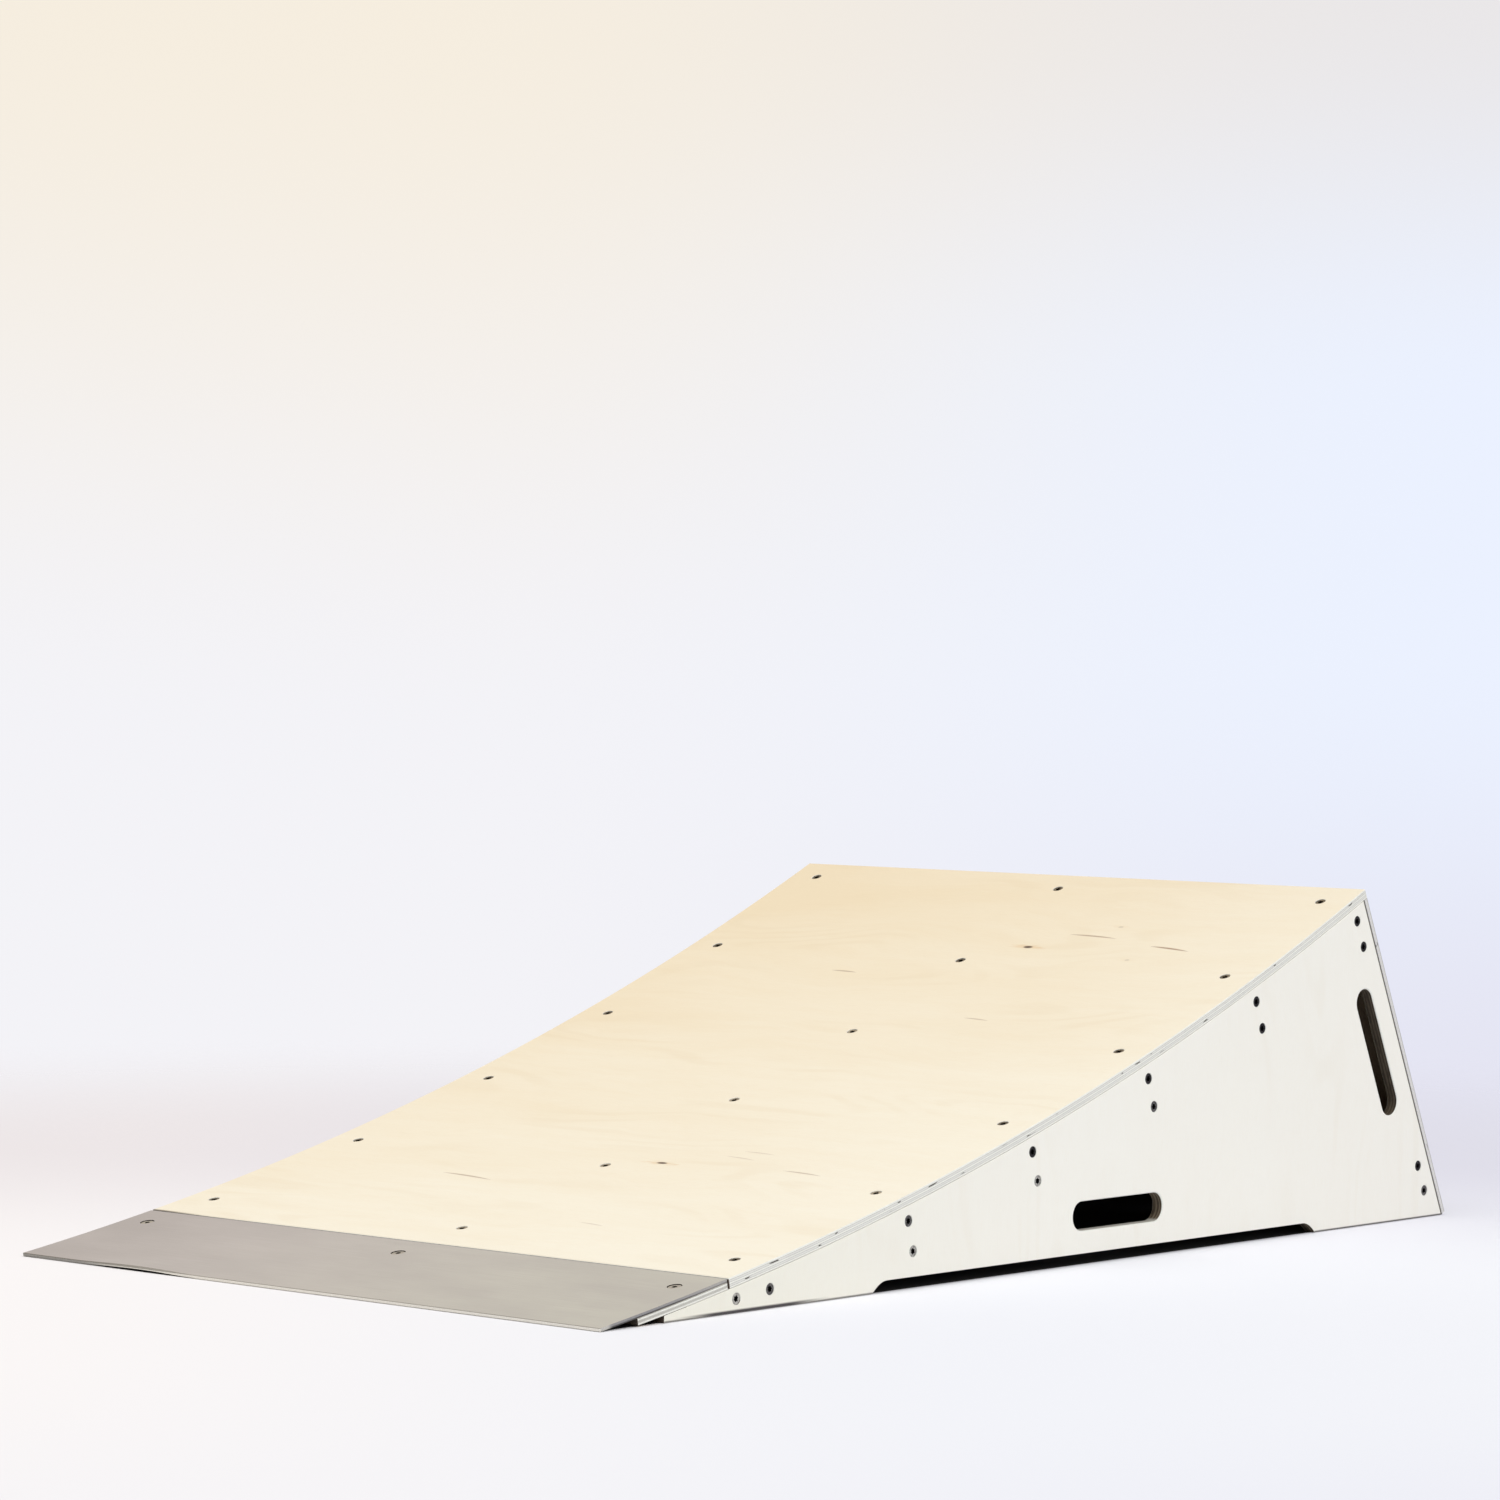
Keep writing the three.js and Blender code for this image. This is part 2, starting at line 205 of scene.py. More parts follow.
def slice_along(work, axis, low, high, sections):
    """Cuts a mesh across one axis, so that it can be bent."""
    normal = Vector([float(i == axis) for i in range(3)])
    for i in range(1, sections):
        cut_at = normal * (low + (high - low) * i / sections)
        everything = work.verts[:] + work.edges[:] + work.faces[:]
        bmesh.ops.bisect_plane(work, geom=everything, plane_co=cut_at, plane_no=normal)


def place_verts(work, to_frame):
    for vert in work.verts:
        vert.co = to_frame(vert.co)


def arc_slab(name, runs, rises, rounding, lift=None):
    """A sheet as wide as the ramp, bent to the riding arc. A lift raises each place from it."""
    work = rounded_box((-HALF_WIDTH, runs[0], rises[0]), (HALF_WIDTH, runs[1], rises[1]), rounding)
    share = (runs[1] - runs[0]) / RIDE_LENGTH
    slice_along(work, 1, *runs, max(CURVE_STEPS, round(ARC_SECTIONS * share)))
    if lift is not None:
        slice_along(work, 0, -HALF_WIDTH, HALF_WIDTH, ARC_SECTIONS)
        place_verts(work, lambda place: place + Vector((0, 0, lift(place))))
    place_verts(work, arc_point)
    return link_mesh(name, work)


def inset(outline, distance):
    """An outline of (y, z) points, run anticlockwise, moved inwards."""
    moved = []
    for i, point in enumerate(outline):
        before = Vector(point) - Vector(outline[i - 1])
        after = Vector(outline[(i + 1) % len(outline)]) - Vector(point)
        first = Vector((-before.y, before.x)).normalized()
        second = Vector((-after.y, after.x)).normalized()
        step = (first + second) * distance / (1 + first.dot(second))
        moved.append(tuple(Vector(point) + step))
    return moved


def prism_across(name, outline, low_x, high_x, rounding):
    """An outline of (y, z) points, extruded across the ramp, with its rims rounded."""
    rings = []
    for i in range(ROUND_STEPS + 1):
        turn = math.pi / 2 * i / ROUND_STEPS
        rim = inset(outline, rounding * (1 - math.sin(turn)))
        rings.append((rounding * (1 - math.cos(turn)), rim))
    low_rings = [[Vector((low_x + x, y, z)) for y, z in rim] for x, rim in rings]
    high_rings = [[Vector((high_x - x, y, z)) for y, z in rim] for x, rim in reversed(rings)]
    work = bmesh.new()
    loft(work, low_rings + high_rings)
    return link_mesh(name, work)


def circle(radius, height, lobe=0):
    """A ring about Z. A lobe makes its radius swell and shrink."""
    points = []
    for i in range(RIM_STEPS):
        angle = 2 * math.pi * i / RIM_STEPS
        reach = radius + lobe * math.cos(LOBES * angle)
        points.append(Vector((reach * math.cos(angle), reach * math.sin(angle), height)))
    return points


def bridge(work, first, second):
    """Faces between two rings, either of which may be one point."""
    for i in range(max(len(first), len(second))):
        places = ((first, i), (first, i + 1), (second, i + 1), (second, i))
        corners = [ring[j % len(ring)] for ring, j in places]
        work.faces.new(list(dict.fromkeys(corners)))


def loft(work, rings, matrix=Matrix.Identity(4), closed=False):
    """A closed skin through rings of points. Its ends are capped, or the last ring meets the first."""
    made = []
    for ring in rings:
        made.append([work.verts.new(matrix @ point) for point in ring])
    for first, second in zip(made, made[1:]):
        bridge(work, first, second)
    if closed:
        bridge(work, made[-1], made[0])
        return
    for ring in (made[0], made[-1]):
        if len(ring) > 1:
            work.faces.new(ring)


def cut(piece, cutter):
    """Cuts a bmesh of closed shapes out of a piece, for good."""
    tool = link_mesh("cutter", cutter)
    modifier = piece.modifiers.new("cut", "BOOLEAN")
    modifier.operation = "DIFFERENCE"
    modifier.solver = "EXACT"
    modifier.object = tool
    bpy.context.view_layer.update()
    depsgraph = bpy.context.evaluated_depsgraph_get()
    result = bpy.data.meshes.new_from_object(piece.evaluated_get(depsgraph))
    piece.modifiers.clear()
    plain = piece.data
    piece.data = result
    bpy.data.meshes.remove(plain)
    spent = tool.data
    bpy.data.objects.remove(tool)
    bpy.data.meshes.remove(spent)


# Fasteners: each has a seat, the middle of its head's top and the way that it faces


class Seat:
    def __init__(self, top, axis):
        self.top = top
        self.axis = axis.normalized()
        self.matrix = Matrix.Translation(top) @ self.axis.to_track_quat("Z", "Y").to_matrix().to_4x4()


def seat_of(node):
    """Reads a fastener's seat from its node. Its tip is the point furthest from its middle."""
    corners = {tuple(round(value, 6) for value in vert.co) for vert in NODES[node].data.vertices}
    points = [Vector(corner) for corner in sorted(corners)]
    middle = sum(points, Vector((0, 0, 0))) / len(points)
    tip = max(points, key=lambda point: (point - middle).length)
    axis = (middle - tip).normalized()
    reach = max((point - tip).dot(axis) for point in points)
    return Seat(tip + reach * axis, axis)


def seats_of(prefix):
    return {name: seat_of(name) for name in sorted(NODES) if name.startswith(prefix)}


Fastener = namedtuple("Fastener", "radius head_radius length room")
SCREW = Fastener(2.5 * MM, 5 * MM, 30 * MM, 0.18 * MM)
BACK_SCREW = Fastener(2 * MM, 4 * MM, 30 * MM, 0.18 * MM)
BOLT = Fastener(3 * MM, 6 * MM, 30 * MM, 0.4 * MM)
SHANK_ROOM = 0.3 * MM
FACE_FLARE = 0.15 * MM
CUT_OVERRUN = 2 * MM
HEAD_EDGE = 0.4 * MM
TIP_LENGTH = 3 * MM


def seat_rings(kind):
    """The hole that a countersunk fastener needs, with the head's top at height 0."""
    open_radius = kind.head_radius + kind.room
    hole_radius = kind.radius + SHANK_ROOM
    flare_from = HEAD_SINK - FACE_FLARE
    flare_to = HEAD_SINK + CUT_OVERRUN
    return [
        circle(hole_radius, -kind.length - FIT_GAP),
        circle(hole_radius, -HEAD_EDGE - (open_radius - hole_radius)),
        circle(open_radius, -HEAD_EDGE),
        circle(open_radius, flare_from),
        circle(open_radius + flare_to - flare_from, flare_to),
    ]


def drill(piece, seats, kind):
    cutter = bmesh.new()
    for seat in seats:
        loft(cutter, seat_rings(kind), seat.matrix)
    cut(piece, cutter)


# Materials are built from nodes. A colour is (red, green, blue).


class Value:
    """A node's output, ready for arithmetic."""

    def __init__(self, maker, socket):
        self.maker = maker
        self.socket = socket

    def math(self, operation, *others):
        inputs = dict(enumerate((self, *others)))
        return self.maker.add("Math", inputs, operation=operation)

    __add__ = partialmethod(math, "ADD")
    __sub__ = partialmethod(math, "SUBTRACT")
    __mul__ = partialmethod(math, "MULTIPLY")
    __truediv__ = partialmethod(math, "DIVIDE")
    __abs__ = partialmethod(math, "ABSOLUTE")
    larger = partialmethod(math, "MAXIMUM")
    smaller = partialmethod(math, "MINIMUM")

    def __rsub__(self, other):
        return self * -1 + other

    def dot(self, direction):
        inputs = {0: self, 1: direction}
        return self.maker.add("VectorMath", inputs, "Value", operation="DOT_PRODUCT")

    def noise(self, factors, detail=2, roughness=0.5):
        """Noise on a vector that is first stretched by factors."""
        stretched = self.maker.add("VectorMath", {0: self, 1: factors}, operation="MULTIPLY")
        inputs = {"Vector": stretched, "Scale": 1, "Detail": detail, "Roughness": roughness}
        return self.maker.add("TexNoise", inputs)

    def fade(self, low, high, start=0, end=1, way="SMOOTHSTEP"):
        """From start to end as the value goes from low to high."""
        inputs = {"Value": self, "From Min": low, "From Max": high, "To Min": start, "To Max": end}
        return self.maker.add("MapRange", inputs, interpolation_type=way)


class Maker:
    """A material or a world, the colour that it has so far, and short ways to add nodes to it."""

    def __init__(self, name, colour=None, family="materials"):
        self.owner = getattr(bpy.data, family).new(name)
        self.owner.use_nodes = True
        self.tree = self.owner.node_tree
        self.colour = colour

    def set(self, socket, value):
        if isinstance(value, Value):
            self.tree.links.new(value.socket, socket)
        elif socket.type == "RGBA":
            socket.default_value = (*value, 1)
        else:
            socket.default_value = value

    def add(self, kind, inputs, output=0, **settings):
        """One output of a new node."""
        node = self.tree.nodes.new("ShaderNode" + kind)
        for key, value in settings.items():
            setattr(node, key, value)
        for key, value in inputs.items():
            self.set(node.inputs[key], value)
        return Value(self, node.outputs[output])

    def plan(self):
        """Where a point lies: a vector, and its parts along the grain, across it and in depth."""
        vector = self.add("Attribute", {}, "Vector", attribute_name="plan")
        return vector, *[self.add("SeparateXYZ", {0: vector}, axis) for axis in "XYZ"]

    def mix(self, share, first, second):
        return self.add("Mix", {0: share, 6: first, 7: second}, 2, data_type="RGBA")

    def paint(self, colour, share):
        """Lays a colour over the one so far."""
        self.colour = self.mix(share, self.colour, colour)

    def finish(self, roughness, metallic=0, relief=None, relief_height=0):
        """Sets the surface, and gives back the material."""
        surface = self.tree.nodes["Principled BSDF"].inputs
        self.set(surface["Base Color"], self.colour)
        self.set(surface["Roughness"], roughness)
        self.set(surface["Metallic"], metallic)
        if relief is not None:
            bump = self.add("Bump", {"Height": relief, "Distance": relief_height})
            self.set(surface["Normal"], bump)
        return self.owner

    def show(self, shader, output, plain):
        """Shows a shader instead of the plain one that the tree came with."""
        nodes = self.tree.nodes
        self.set(nodes[output].inputs["Surface"], shader)
        nodes.remove(nodes[plain])


# Knots in the birch face: along the grain, run, half length, half width, darkness
FACE_KNOTS = [
    (56.2, 967.6, 7, 3.4, 0.95),
    (52.8, 411.0, 7.5, 3, 0.95),
    (131.2, 1022.4, 4, 2.4, 0.22),
    (187.3, 952.0, 3.5, 2.4, 0.2),
]
KNOT_BROWN = (0.07, 0.035, 0.018)
HALO_ORANGE = (0.72, 0.46, 0.2)
HALO_SHARE = 0.45
HALO_LENGTH = 3.6
HALO_WIDTH = 1.9

# Bark streaks: along the grain, run, half length, half width, tilt, darkness
FACE_STREAKS = [
    (114.0, 999.5, 30, 2.2, -0.06, 0.7),
    (217.5, 982.0, 25, 2.4, -0.13, 0.85),
    (-116.0, 889.0, 17, 2.0, -0.05, 0.6),
    (115.2, 801.4, 16, 1.7, -0.08, 0.5),
    (211.0, 420.0, 24, 2.0, -0.08, 0.55),
    (-116.0, 332.5, 34, 2.2, -0.09, 0.65),
    (131.0, 456.8, 19, 1.7, -0.05, 0.3),
    (121.6, 441.0, 19, 1.7, -0.1, 0.3),
    (114.1, 248.4, 16, 1.8, -0.1, 0.3),
]
STREAK_BROWN = (0.3, 0.15, 0.07)
STREAK_BOW = 0.035
LEAST_LEAF = 0.001


def knot_reach(along, across, knot, longer=1, wider=1):
    """0 in the middle of a knot, 1 at its rim."""
    middle_u, middle_v, half_length, half_width = knot[:4]
    u = (along - middle_u * MM) / (half_length * longer * MM)
    v = (across - middle_v * MM) / (half_width * wider * MM)
    return (u * u + v * v).math("SQRT")


def streak_mask(along, across, streak):
    """A thin leaf with pointed ends, a little bowed: 1 in its middle, 0 outside it."""
    middle_u, middle_v, half_length, half_width, tilt, darkness = streak
    u = along - middle_u * MM
    v = across - middle_v * MM
    u_share = u / (half_length * MM)
    u_square = u_share * u_share
    bow = u_square * (-STREAK_BOW * half_length * MM)
    leaf = (1 - u_square).larger(LEAST_LEAF)
    reach = abs(v - (u * tilt + bow)) / (leaf * (half_width * MM))
    return reach.fade(0.1, 1, darkness, 0)


def draw_marks(maker, plan, along, across):
    """The knots with their halos, and the streaks."""
    ragged = plan.noise((60, 260, 0)).fade(0.3, 0.7, -0.3, 0.3)
    for knot in FACE_KNOTS:
        darkness = knot[4]
        halo = knot_reach(along, across, knot, HALO_LENGTH, HALO_WIDTH) + ragged
        maker.paint(HALO_ORANGE, halo.fade(0.2, 1, HALO_SHARE * darkness, 0))
        maker.paint(KNOT_BROWN, knot_reach(along, across, knot).fade(0.45, 1, darkness, 0))
    for streak in FACE_STREAKS:
        maker.paint(STREAK_BROWN, streak_mask(along, across, streak))


# Where the plate's front edge is bent up off the floor
BENT_MIDDLE = -200 * MM
BENT_REACH = 80 * MM
BENT_LENGTH = 90 * MM
BENT_HEIGHT = 1.6 * MM

# How far along its sides the plate is ground bright, from its front corners
CORNER_GROUND = 15 * MM

# Painted shade: a side panel's foot is painted dark as contact shadow, deeper in the middle of its
# front part
FOOT_SHADE_HEIGHT = 2.1 * MM
DEEPER_SHADE_HEIGHT = 3.8 * MM
DEEPER_SHADE_FROM = 5 * MM
DEEPER_SHADE_TO = 215 * MM
DEEPER_SHADE_FADE = 60 * MM
PAINTED_SHADE_BROWN = (0.05, 0.043, 0.045)

SEAM_STAIN_REACH = 4 * MM
SEAM_STAIN = (0.08, 0.045, 0.027)

# The side panels are yellower towards their front
FRONT_TINT_REACH = 550 * MM
FRONT_TINT = (0.88, 0.865, 0.76)


def face_light_tint(along, across):
    """Painted light: the riding face is painted warmer towards the rear left corner and paler towards
    the right, as light and sheen fall on it.
    """
    return along * (across * -0.44 - 0.42) + (across * 0.675 - 0.2)


def stain_seam(maker, along, across):
    """Browns the riding sheet along its front edge, at its left end."""
    near = across.fade(SHEET_START + PLY_ROUNDING, SHEET_START + SEAM_STAIN_REACH, 1, 0)
    leftward = along.fade(-HALF_WIDTH * 0.97, -HALF_WIDTH * 0.78, 0.9, 0.08)
    maker.paint(SEAM_STAIN, near * leftward)


def paint_foot_shade(maker, along, across):
    """Paints contact shadow along a side panel's foot, where the grain starts at the floor."""
    thin = along.fade(FOOT_SHADE_HEIGHT / 3, FOOT_SHADE_HEIGHT, 0.95, 0)
    thin *= across.fade(0, REAR_EDGE.y, 0.85, 1)
    starts = PANEL_FRONT + DEEPER_SHADE_FROM
    ends = PANEL_FRONT + DEEPER_SHADE_TO
    thick = along.fade(DEEPER_SHADE_HEIGHT / 2, DEEPER_SHADE_HEIGHT, 1, 0)
    thick *= across.fade(starts, starts + DEEPER_SHADE_FADE)
    thick *= across.fade(ends - DEEPER_SHADE_FADE, ends, 1, 0)
    # Painted shade: near black along the foot, as contact shadow
    maker.paint(PAINTED_SHADE_BROWN, thin.larger(thick))


# Noises in birch: how fine along and across the grain, then detail and roughness
WARP = ((4.5, 8, 0), 1)
RIPPLE = ((22, 34, 0), 1)
CLOUDS = ((3.4, 17, 0), 5, 0.62)
BROAD_CLOUDS = ((1.6, 3.4, 0), 1)
WISPS = ((8, 95, 0), 3, 0.6)
FLAMES = ((2.2, 9, 0), 1)
BREAKS = ((5, 14, 0), 2)
FIBRE = ((55, 1500, 0), 2)
PORES = ((170, 2600, 0), 1)
WARP_REACH = 60 * MM
RIPPLE_REACH = 9 * MM
FLAME_BANDS = 70
DARKER_SHARES = (0.86, 0.8, 0.7)
VENEER_RELIEF = 0.06 * MM


def veneer(name, pale, warm, figure, on_face=False, foot=False):
    """Rotary cut birch: clouds drawn out along the grain, fine wavy figure, fibres and pores.

    The riding face also has knots and streaks, and its tint drifts as painted light.
    """
    maker = Maker(name, pale)
    plan, along, across, depth = maker.plan()
    moved = across + (plan.noise(*WARP) * WARP_REACH + plan.noise(*RIPPLE) * RIPPLE_REACH)
    bent = maker.add("CombineXYZ", {0: along, 1: moved, 2: depth})
    clouds = bent.noise(*CLOUDS)
    bands = (bent.noise(*FLAMES) * FLAME_BANDS).math("SINE").fade(-0.2, 1)
    broken = plan.noise(*BREAKS).fade(0.46, 0.66)
    fibre = bent.noise(*FIBRE)
    pores = bent.noise(*PORES).fade(0.66, 0.78)
    warmth = clouds.fade(0.25, 0.75, 0, 0.17)
    warmth += bent.noise(*BROAD_CLOUDS).fade(0.3, 0.7, 0, 0.18)
    warmth += bent.noise(*WISPS).fade(0.42, 0.68, 0, 0.065)
    if on_face:
        # Painted light: the face's tint drifts as light and sheen fall on it
        warmth += face_light_tint(along, across)

    if foot:
        maker.paint(FRONT_TINT, across.fade(PANEL_FRONT, PANEL_FRONT + FRONT_TINT_REACH, 1, 0))
    maker.paint(warm, warmth.larger(0))
    darker = [value * share for value, share in zip(warm, DARKER_SHARES)]
    maker.paint(darker, bands * broken * figure)
    maker.paint(darker, fibre.fade(0.35, 0.75, 0, 0.1))
    maker.paint(darker, pores * 0.25)
    if on_face:
        draw_marks(maker, plan, along, across)
        stain_seam(maker, along, across)
    if foot:
        # Painted contact shadow along the foot
        paint_foot_shade(maker, along, across)
    relief = fibre * 0.4 + pores * -0.8 + clouds * 0.5
    return maker.finish(clouds.fade(0.3, 0.7, 0.5, 0.6), 0, relief, VENEER_RELIEF)


SHEET_PLIES = 5
SIDE_PLIES = 7
PALE_PLY = (0.92, 0.92, 0.85)
BACK_PLY = (0.8, 0.79, 0.79)
CROSS_PLY = (0.775, 0.765, 0.72)
FRONT_CROSS_PLY = (0.48, 0.46, 0.41)
GLUE_LINE = (0.22, 0.21, 0.19)
SEAM_BROWN = (0.05, 0.028, 0.016)
VOID_BLACK = (0.03, 0.02, 0.012)
WORN_SHARE = 0.76
PLY_RELIEF = 0.09 * MM


def ply_edge(
    name, thickness, plies=SHEET_PLIES, light=PALE_PLY, dark=CROSS_PLY, seam=False, joint=False
):
    """The cut edge of plywood: plies with and across the grain, glue lines and a few voids.

    It is browned at the seam, or painted dark along the joint on its inner side, as shade in the gap.
    """
    maker = Maker(name, light)
    plan, along, across, depth = maker.plan()
    layer = depth / (thickness / plies) + (plan.noise((30, 30, 0)) - 0.5) * 0.16
    beyond = layer.math("PINGPONG", 1)
    near_glue = beyond.smaller(1 - beyond)
    crossed = layer.math("FLOOR").math("MODULO", 2) * near_glue.fade(0.08, 0.35)
    glue_line = near_glue.fade(0.03, 0.13, 1, 0) * layer.smaller(plies - layer).fade(0.3, 0.6)
    long_grain = plan.noise((160, 160, 4200), 3)
    end_grain = plan.noise((2600, 2600, 1800))
    patches = plan.noise((14, 14, 260))

    worn = [value * WORN_SHARE for value in dark]
    maker.paint(dark, crossed)
    maker.paint(worn, long_grain.fade(0.35, 0.75, 0, 0.22))
    maker.paint(worn, end_grain.fade(0.4, 0.75, 0, 0.22))
    maker.paint(worn, patches.fade(0.5, 0.8, 0, 0.3))
    maker.paint(GLUE_LINE, glue_line * 0.8)
    if seam:
        off_seam = abs(across - (PLATE_LENGTH + SEAM_WIDTH / 2))
        browned = off_seam.fade(SEAM_WIDTH * 0.9, SEAM_WIDTH * 1.3, 0.97, 0)
        leftward = along.fade(-HALF_WIDTH, -HALF_WIDTH / 2, 0.8, 0.1)
        below_top = depth.fade(0.2 * MM, 1.2 * MM)
        maker.paint(SEAM_BROWN, browned * leftward.larger(below_top))
    if joint:
        maker.paint(GLUE_LINE, depth.fade(thickness * 0.1, thickness * 0.25, 0.55, 0))
        # Painted shade: dark along the inner side, in the gap at the joint with the side panels
        maker.paint(PAINTED_SHADE_BROWN, depth.fade(thickness * 0.74, thickness * 0.84, 0, 0.95))
    gaps = plan.noise((75, 75, 190), 0).fade(0.755, 0.77)
    void = gaps * (crossed * near_glue.fade(0.12, 0.3))
    maker.paint(VOID_BLACK, void)
    relief = long_grain * 0.5 + end_grain * 0.5 + glue_line * -0.5 + void * -4
    return maker.finish(0.68, 0, relief, PLY_RELIEF)


SCORCHED_SHADED_PLY = (0.27, 0.22, 0.155)
SCORCHED_SHADED_STRIPE = (0.12, 0.09, 0.058)
SMOKE = (0.05, 0.036, 0.025)
REAR_SLOT_SHADE = (0.02, 0.014, 0.009)
PALE_SILL_PLY = (0.62, 0.6, 0.54)
PALE_SILL_FROM = 0.4 * MM
PALE_SILL_TO = 2.6 * MM
SLOT_RELIEF = 0.12 * MM


def scorched_and_shaded_edge():
    """The walls of the hand slots and of the relief: plywood browned by the cutter and painted darker
    as shade, its plies still showing; paler along the level slot's sill, and darker towards the rear
    slot as painted shade.
    """
    maker = Maker("scorched_shaded_slot_edge", SCORCHED_SHADED_PLY)
    plan, height, run, depth = maker.plan()
    stripes = (depth / (SIDE_THICKNESS / SIDE_PLIES)).math("PINGPONG", 1).fade(0.3, 0.7)
    maker.paint(SCORCHED_SHADED_STRIPE, stripes)
    maker.paint(SMOKE, plan.noise((60, 60, 500), 4, 0.65).fade(0.4, 0.75, 0, 0.85))
    # Painted shade: darker towards the rear slot
    maker.paint(REAR_SLOT_SHADE, run.fade(LEVEL_SLOT[0].y + SLOT_LENGTH, REAR_SLOT[0].y, 0, 0.5))
    # Paler along the level slot's sill
    sill = LEVEL_SLOT_HEIGHT - SLOT_WIDTH / 2
    rubbed = height.fade(sill + PALE_SILL_FROM, sill + PALE_SILL_TO, 0.9, 0)
    maker.paint(PALE_SILL_PLY, rubbed * height.fade(RELIEF_HEIGHT + MM, sill))
    relief = plan.noise((420, 420, 3000)) + stripes * 0.6
    return maker.finish(0.75, 0, relief, SLOT_RELIEF)


PALE_TIMBER = (0.76, 0.57, 0.35)
LATE_TIMBER = (0.6, 0.38, 0.19)
FIBRE_TIMBER = (0.5, 0.32, 0.17)
GROWTH_RINGS = 1900
TIMBER_RELIEF = 0.1 * MM


def planed_timber():
    """Planed softwood: growth lines along the piece."""
    maker = Maker("planed_timber", PALE_TIMBER)
    plan, _, across, depth = maker.plan()
    bent = across + depth * 0.45 + plan.noise((4, 16, 16)) * 0.02
    late = (bent * GROWTH_RINGS).math("SINE").fade(0.1, 0.95)
    fibre = plan.noise((70, 1900, 1900), 3)
    maker.paint(LATE_TIMBER, late)
    maker.paint(FIBRE_TIMBER, fibre.fade(0.35, 0.75, 0, 0.35))
    return maker.finish(0.7, 0, late * 0.5 + fibre, TIMBER_RELIEF)


LEFT_STEEL = (0.6, 0.572, 0.61)
RIGHT_STEEL = (0.643, 0.653, 0.626)
CLOUDED_STEEL = (0.588, 0.562, 0.562)
STREAKED_STEEL = (0.503, 0.482, 0.471)
DULL_STEEL = (0.33, 0.31, 0.32)
SCRATCHED_STEEL = (0.74, 0.72, 0.69)
STEEL_RELIEF = 0.012 * MM


def brushed_steel():
    """The entry plate: sheet steel with a fine grain across the ramp and faint clouds."""
    maker = Maker("brushed_plate_steel", LEFT_STEEL)
    plan, along = maker.plan()[:2]
    streaks = plan.noise((9, 1700, 1700), 3, 0.7)
    clouds = plan.noise((7, 16, 0), 4, 0.6)
    scratches = plan.noise((16, 900, 900), 1).fade(0.69, 0.76)
    maker.paint(RIGHT_STEEL, along.fade(-HALF_WIDTH, HALF_WIDTH))
    maker.paint(CLOUDED_STEEL, clouds.fade(0.3, 0.7, 0, 0.4))
    maker.paint(STREAKED_STEEL, streaks.fade(0.3, 0.75, 0, 0.3))
    maker.paint(DULL_STEEL, along.fade(-HALF_WIDTH, -HALF_WIDTH / 3, 0.22, 0))
    maker.paint(SCRATCHED_STEEL, scratches * 0.3)
    roughness = clouds.fade(0.3, 0.7, 0.36, 0.46) + streaks.fade(0.3, 0.7, 0, 0.06)
    return maker.finish(roughness, 1, streaks + scratches * -0.4, STEEL_RELIEF)


ARRIS_FROM = 0.3 * MM
ARRIS_TO = 0.8 * MM


def ground_reflecting_edge():
    """The plate's front edge, bright below a darker arris, partly as ground steel and partly as a
    painted reflection of the lit floor; dark at its left end.
    """
    maker = Maker("ground_reflecting_plate_edge", (0.27, 0.26, 0.24))
    plan, along, _, depth = maker.plan()
    # Painted reflection: the edge is painted bright right of the bend, as the lit floor would show in
    # it
    maker.paint((0.88, 0.85, 0.77), along.fade(BENT_MIDDLE - BENT_REACH, BENT_MIDDLE))
    maker.paint((0.6, 0.58, 0.52), plan.noise((900, 900, 900), 3).fade(0.35, 0.7, 0, 0.3))
    maker.paint((0.16, 0.14, 0.11), depth.fade(ARRIS_FROM, ARRIS_TO, 0.7, 0))
    return maker.finish(0.5, 0.4)


def sheared_edge():
    """The plate's sheared sides: grey, and darker along the foot towards the front: painted shadow of
    the gap over the board.
    """
    maker = Maker("sheared_plate_edge", (0.33, 0.325, 0.325))
    plan, _, run, depth = maker.plan()
    maker.paint((0.47, 0.455, 0.425), run.fade(PLATE_LENGTH * 0.4, PLATE_LENGTH))
    gap_shadow = depth.fade(PLATE_THICKNESS * 0.45, PLATE_THICKNESS * 0.75)
    frontward = run.fade(PLATE_LENGTH * 0.55, PLATE_LENGTH * 0.9, 0.9, 0.45)
    # Painted shadow along the foot, in the gap over the board
    maker.paint((0.055, 0.052, 0.053), gap_shadow * frontward)
    maker.paint((0.74, 0.72, 0.65), run.fade(CORNER_GROUND / 2, CORNER_GROUND, 0.75, 0))
    maker.paint((0.23, 0.225, 0.222), plan.noise((900, 900, 500), 3).fade(0.35, 0.7, 0, 0.25))
    return maker.finish(0.5, 0.6)


COATING_RELIEF = 0.02 * MM


def coated_metal(name, bright, dull, roughness, metallic=1):
    """A small fastener's finish: a coating rubbed in places."""
    maker = Maker(name, dull)
    position = maker.add("NewGeometry", {}, "Position")
    rubbed = position.noise((420, 420, 420), 4, 0.65)
    maker.paint(bright, rubbed.fade(0.35, 0.68))
    roughness = rubbed.fade(0.3, 0.7, roughness + 0.1, roughness)
    return maker.finish(roughness, metallic, position.noise((2600, 2600, 2600)), COATING_RELIEF)


OUTER_TONES = ((0.925, 0.91, 0.84), (0.9, 0.865, 0.785), 0.1)
FACE_VENEER = veneer("birch_face_veneer", (0.94, 0.875, 0.725), (0.86, 0.72, 0.5), 0.13, on_face=True)
SIDE_VENEER = veneer("birch_side_veneer", *OUTER_TONES, foot=True)
BACK_VENEER = veneer("birch_back_veneer", *OUTER_TONES)
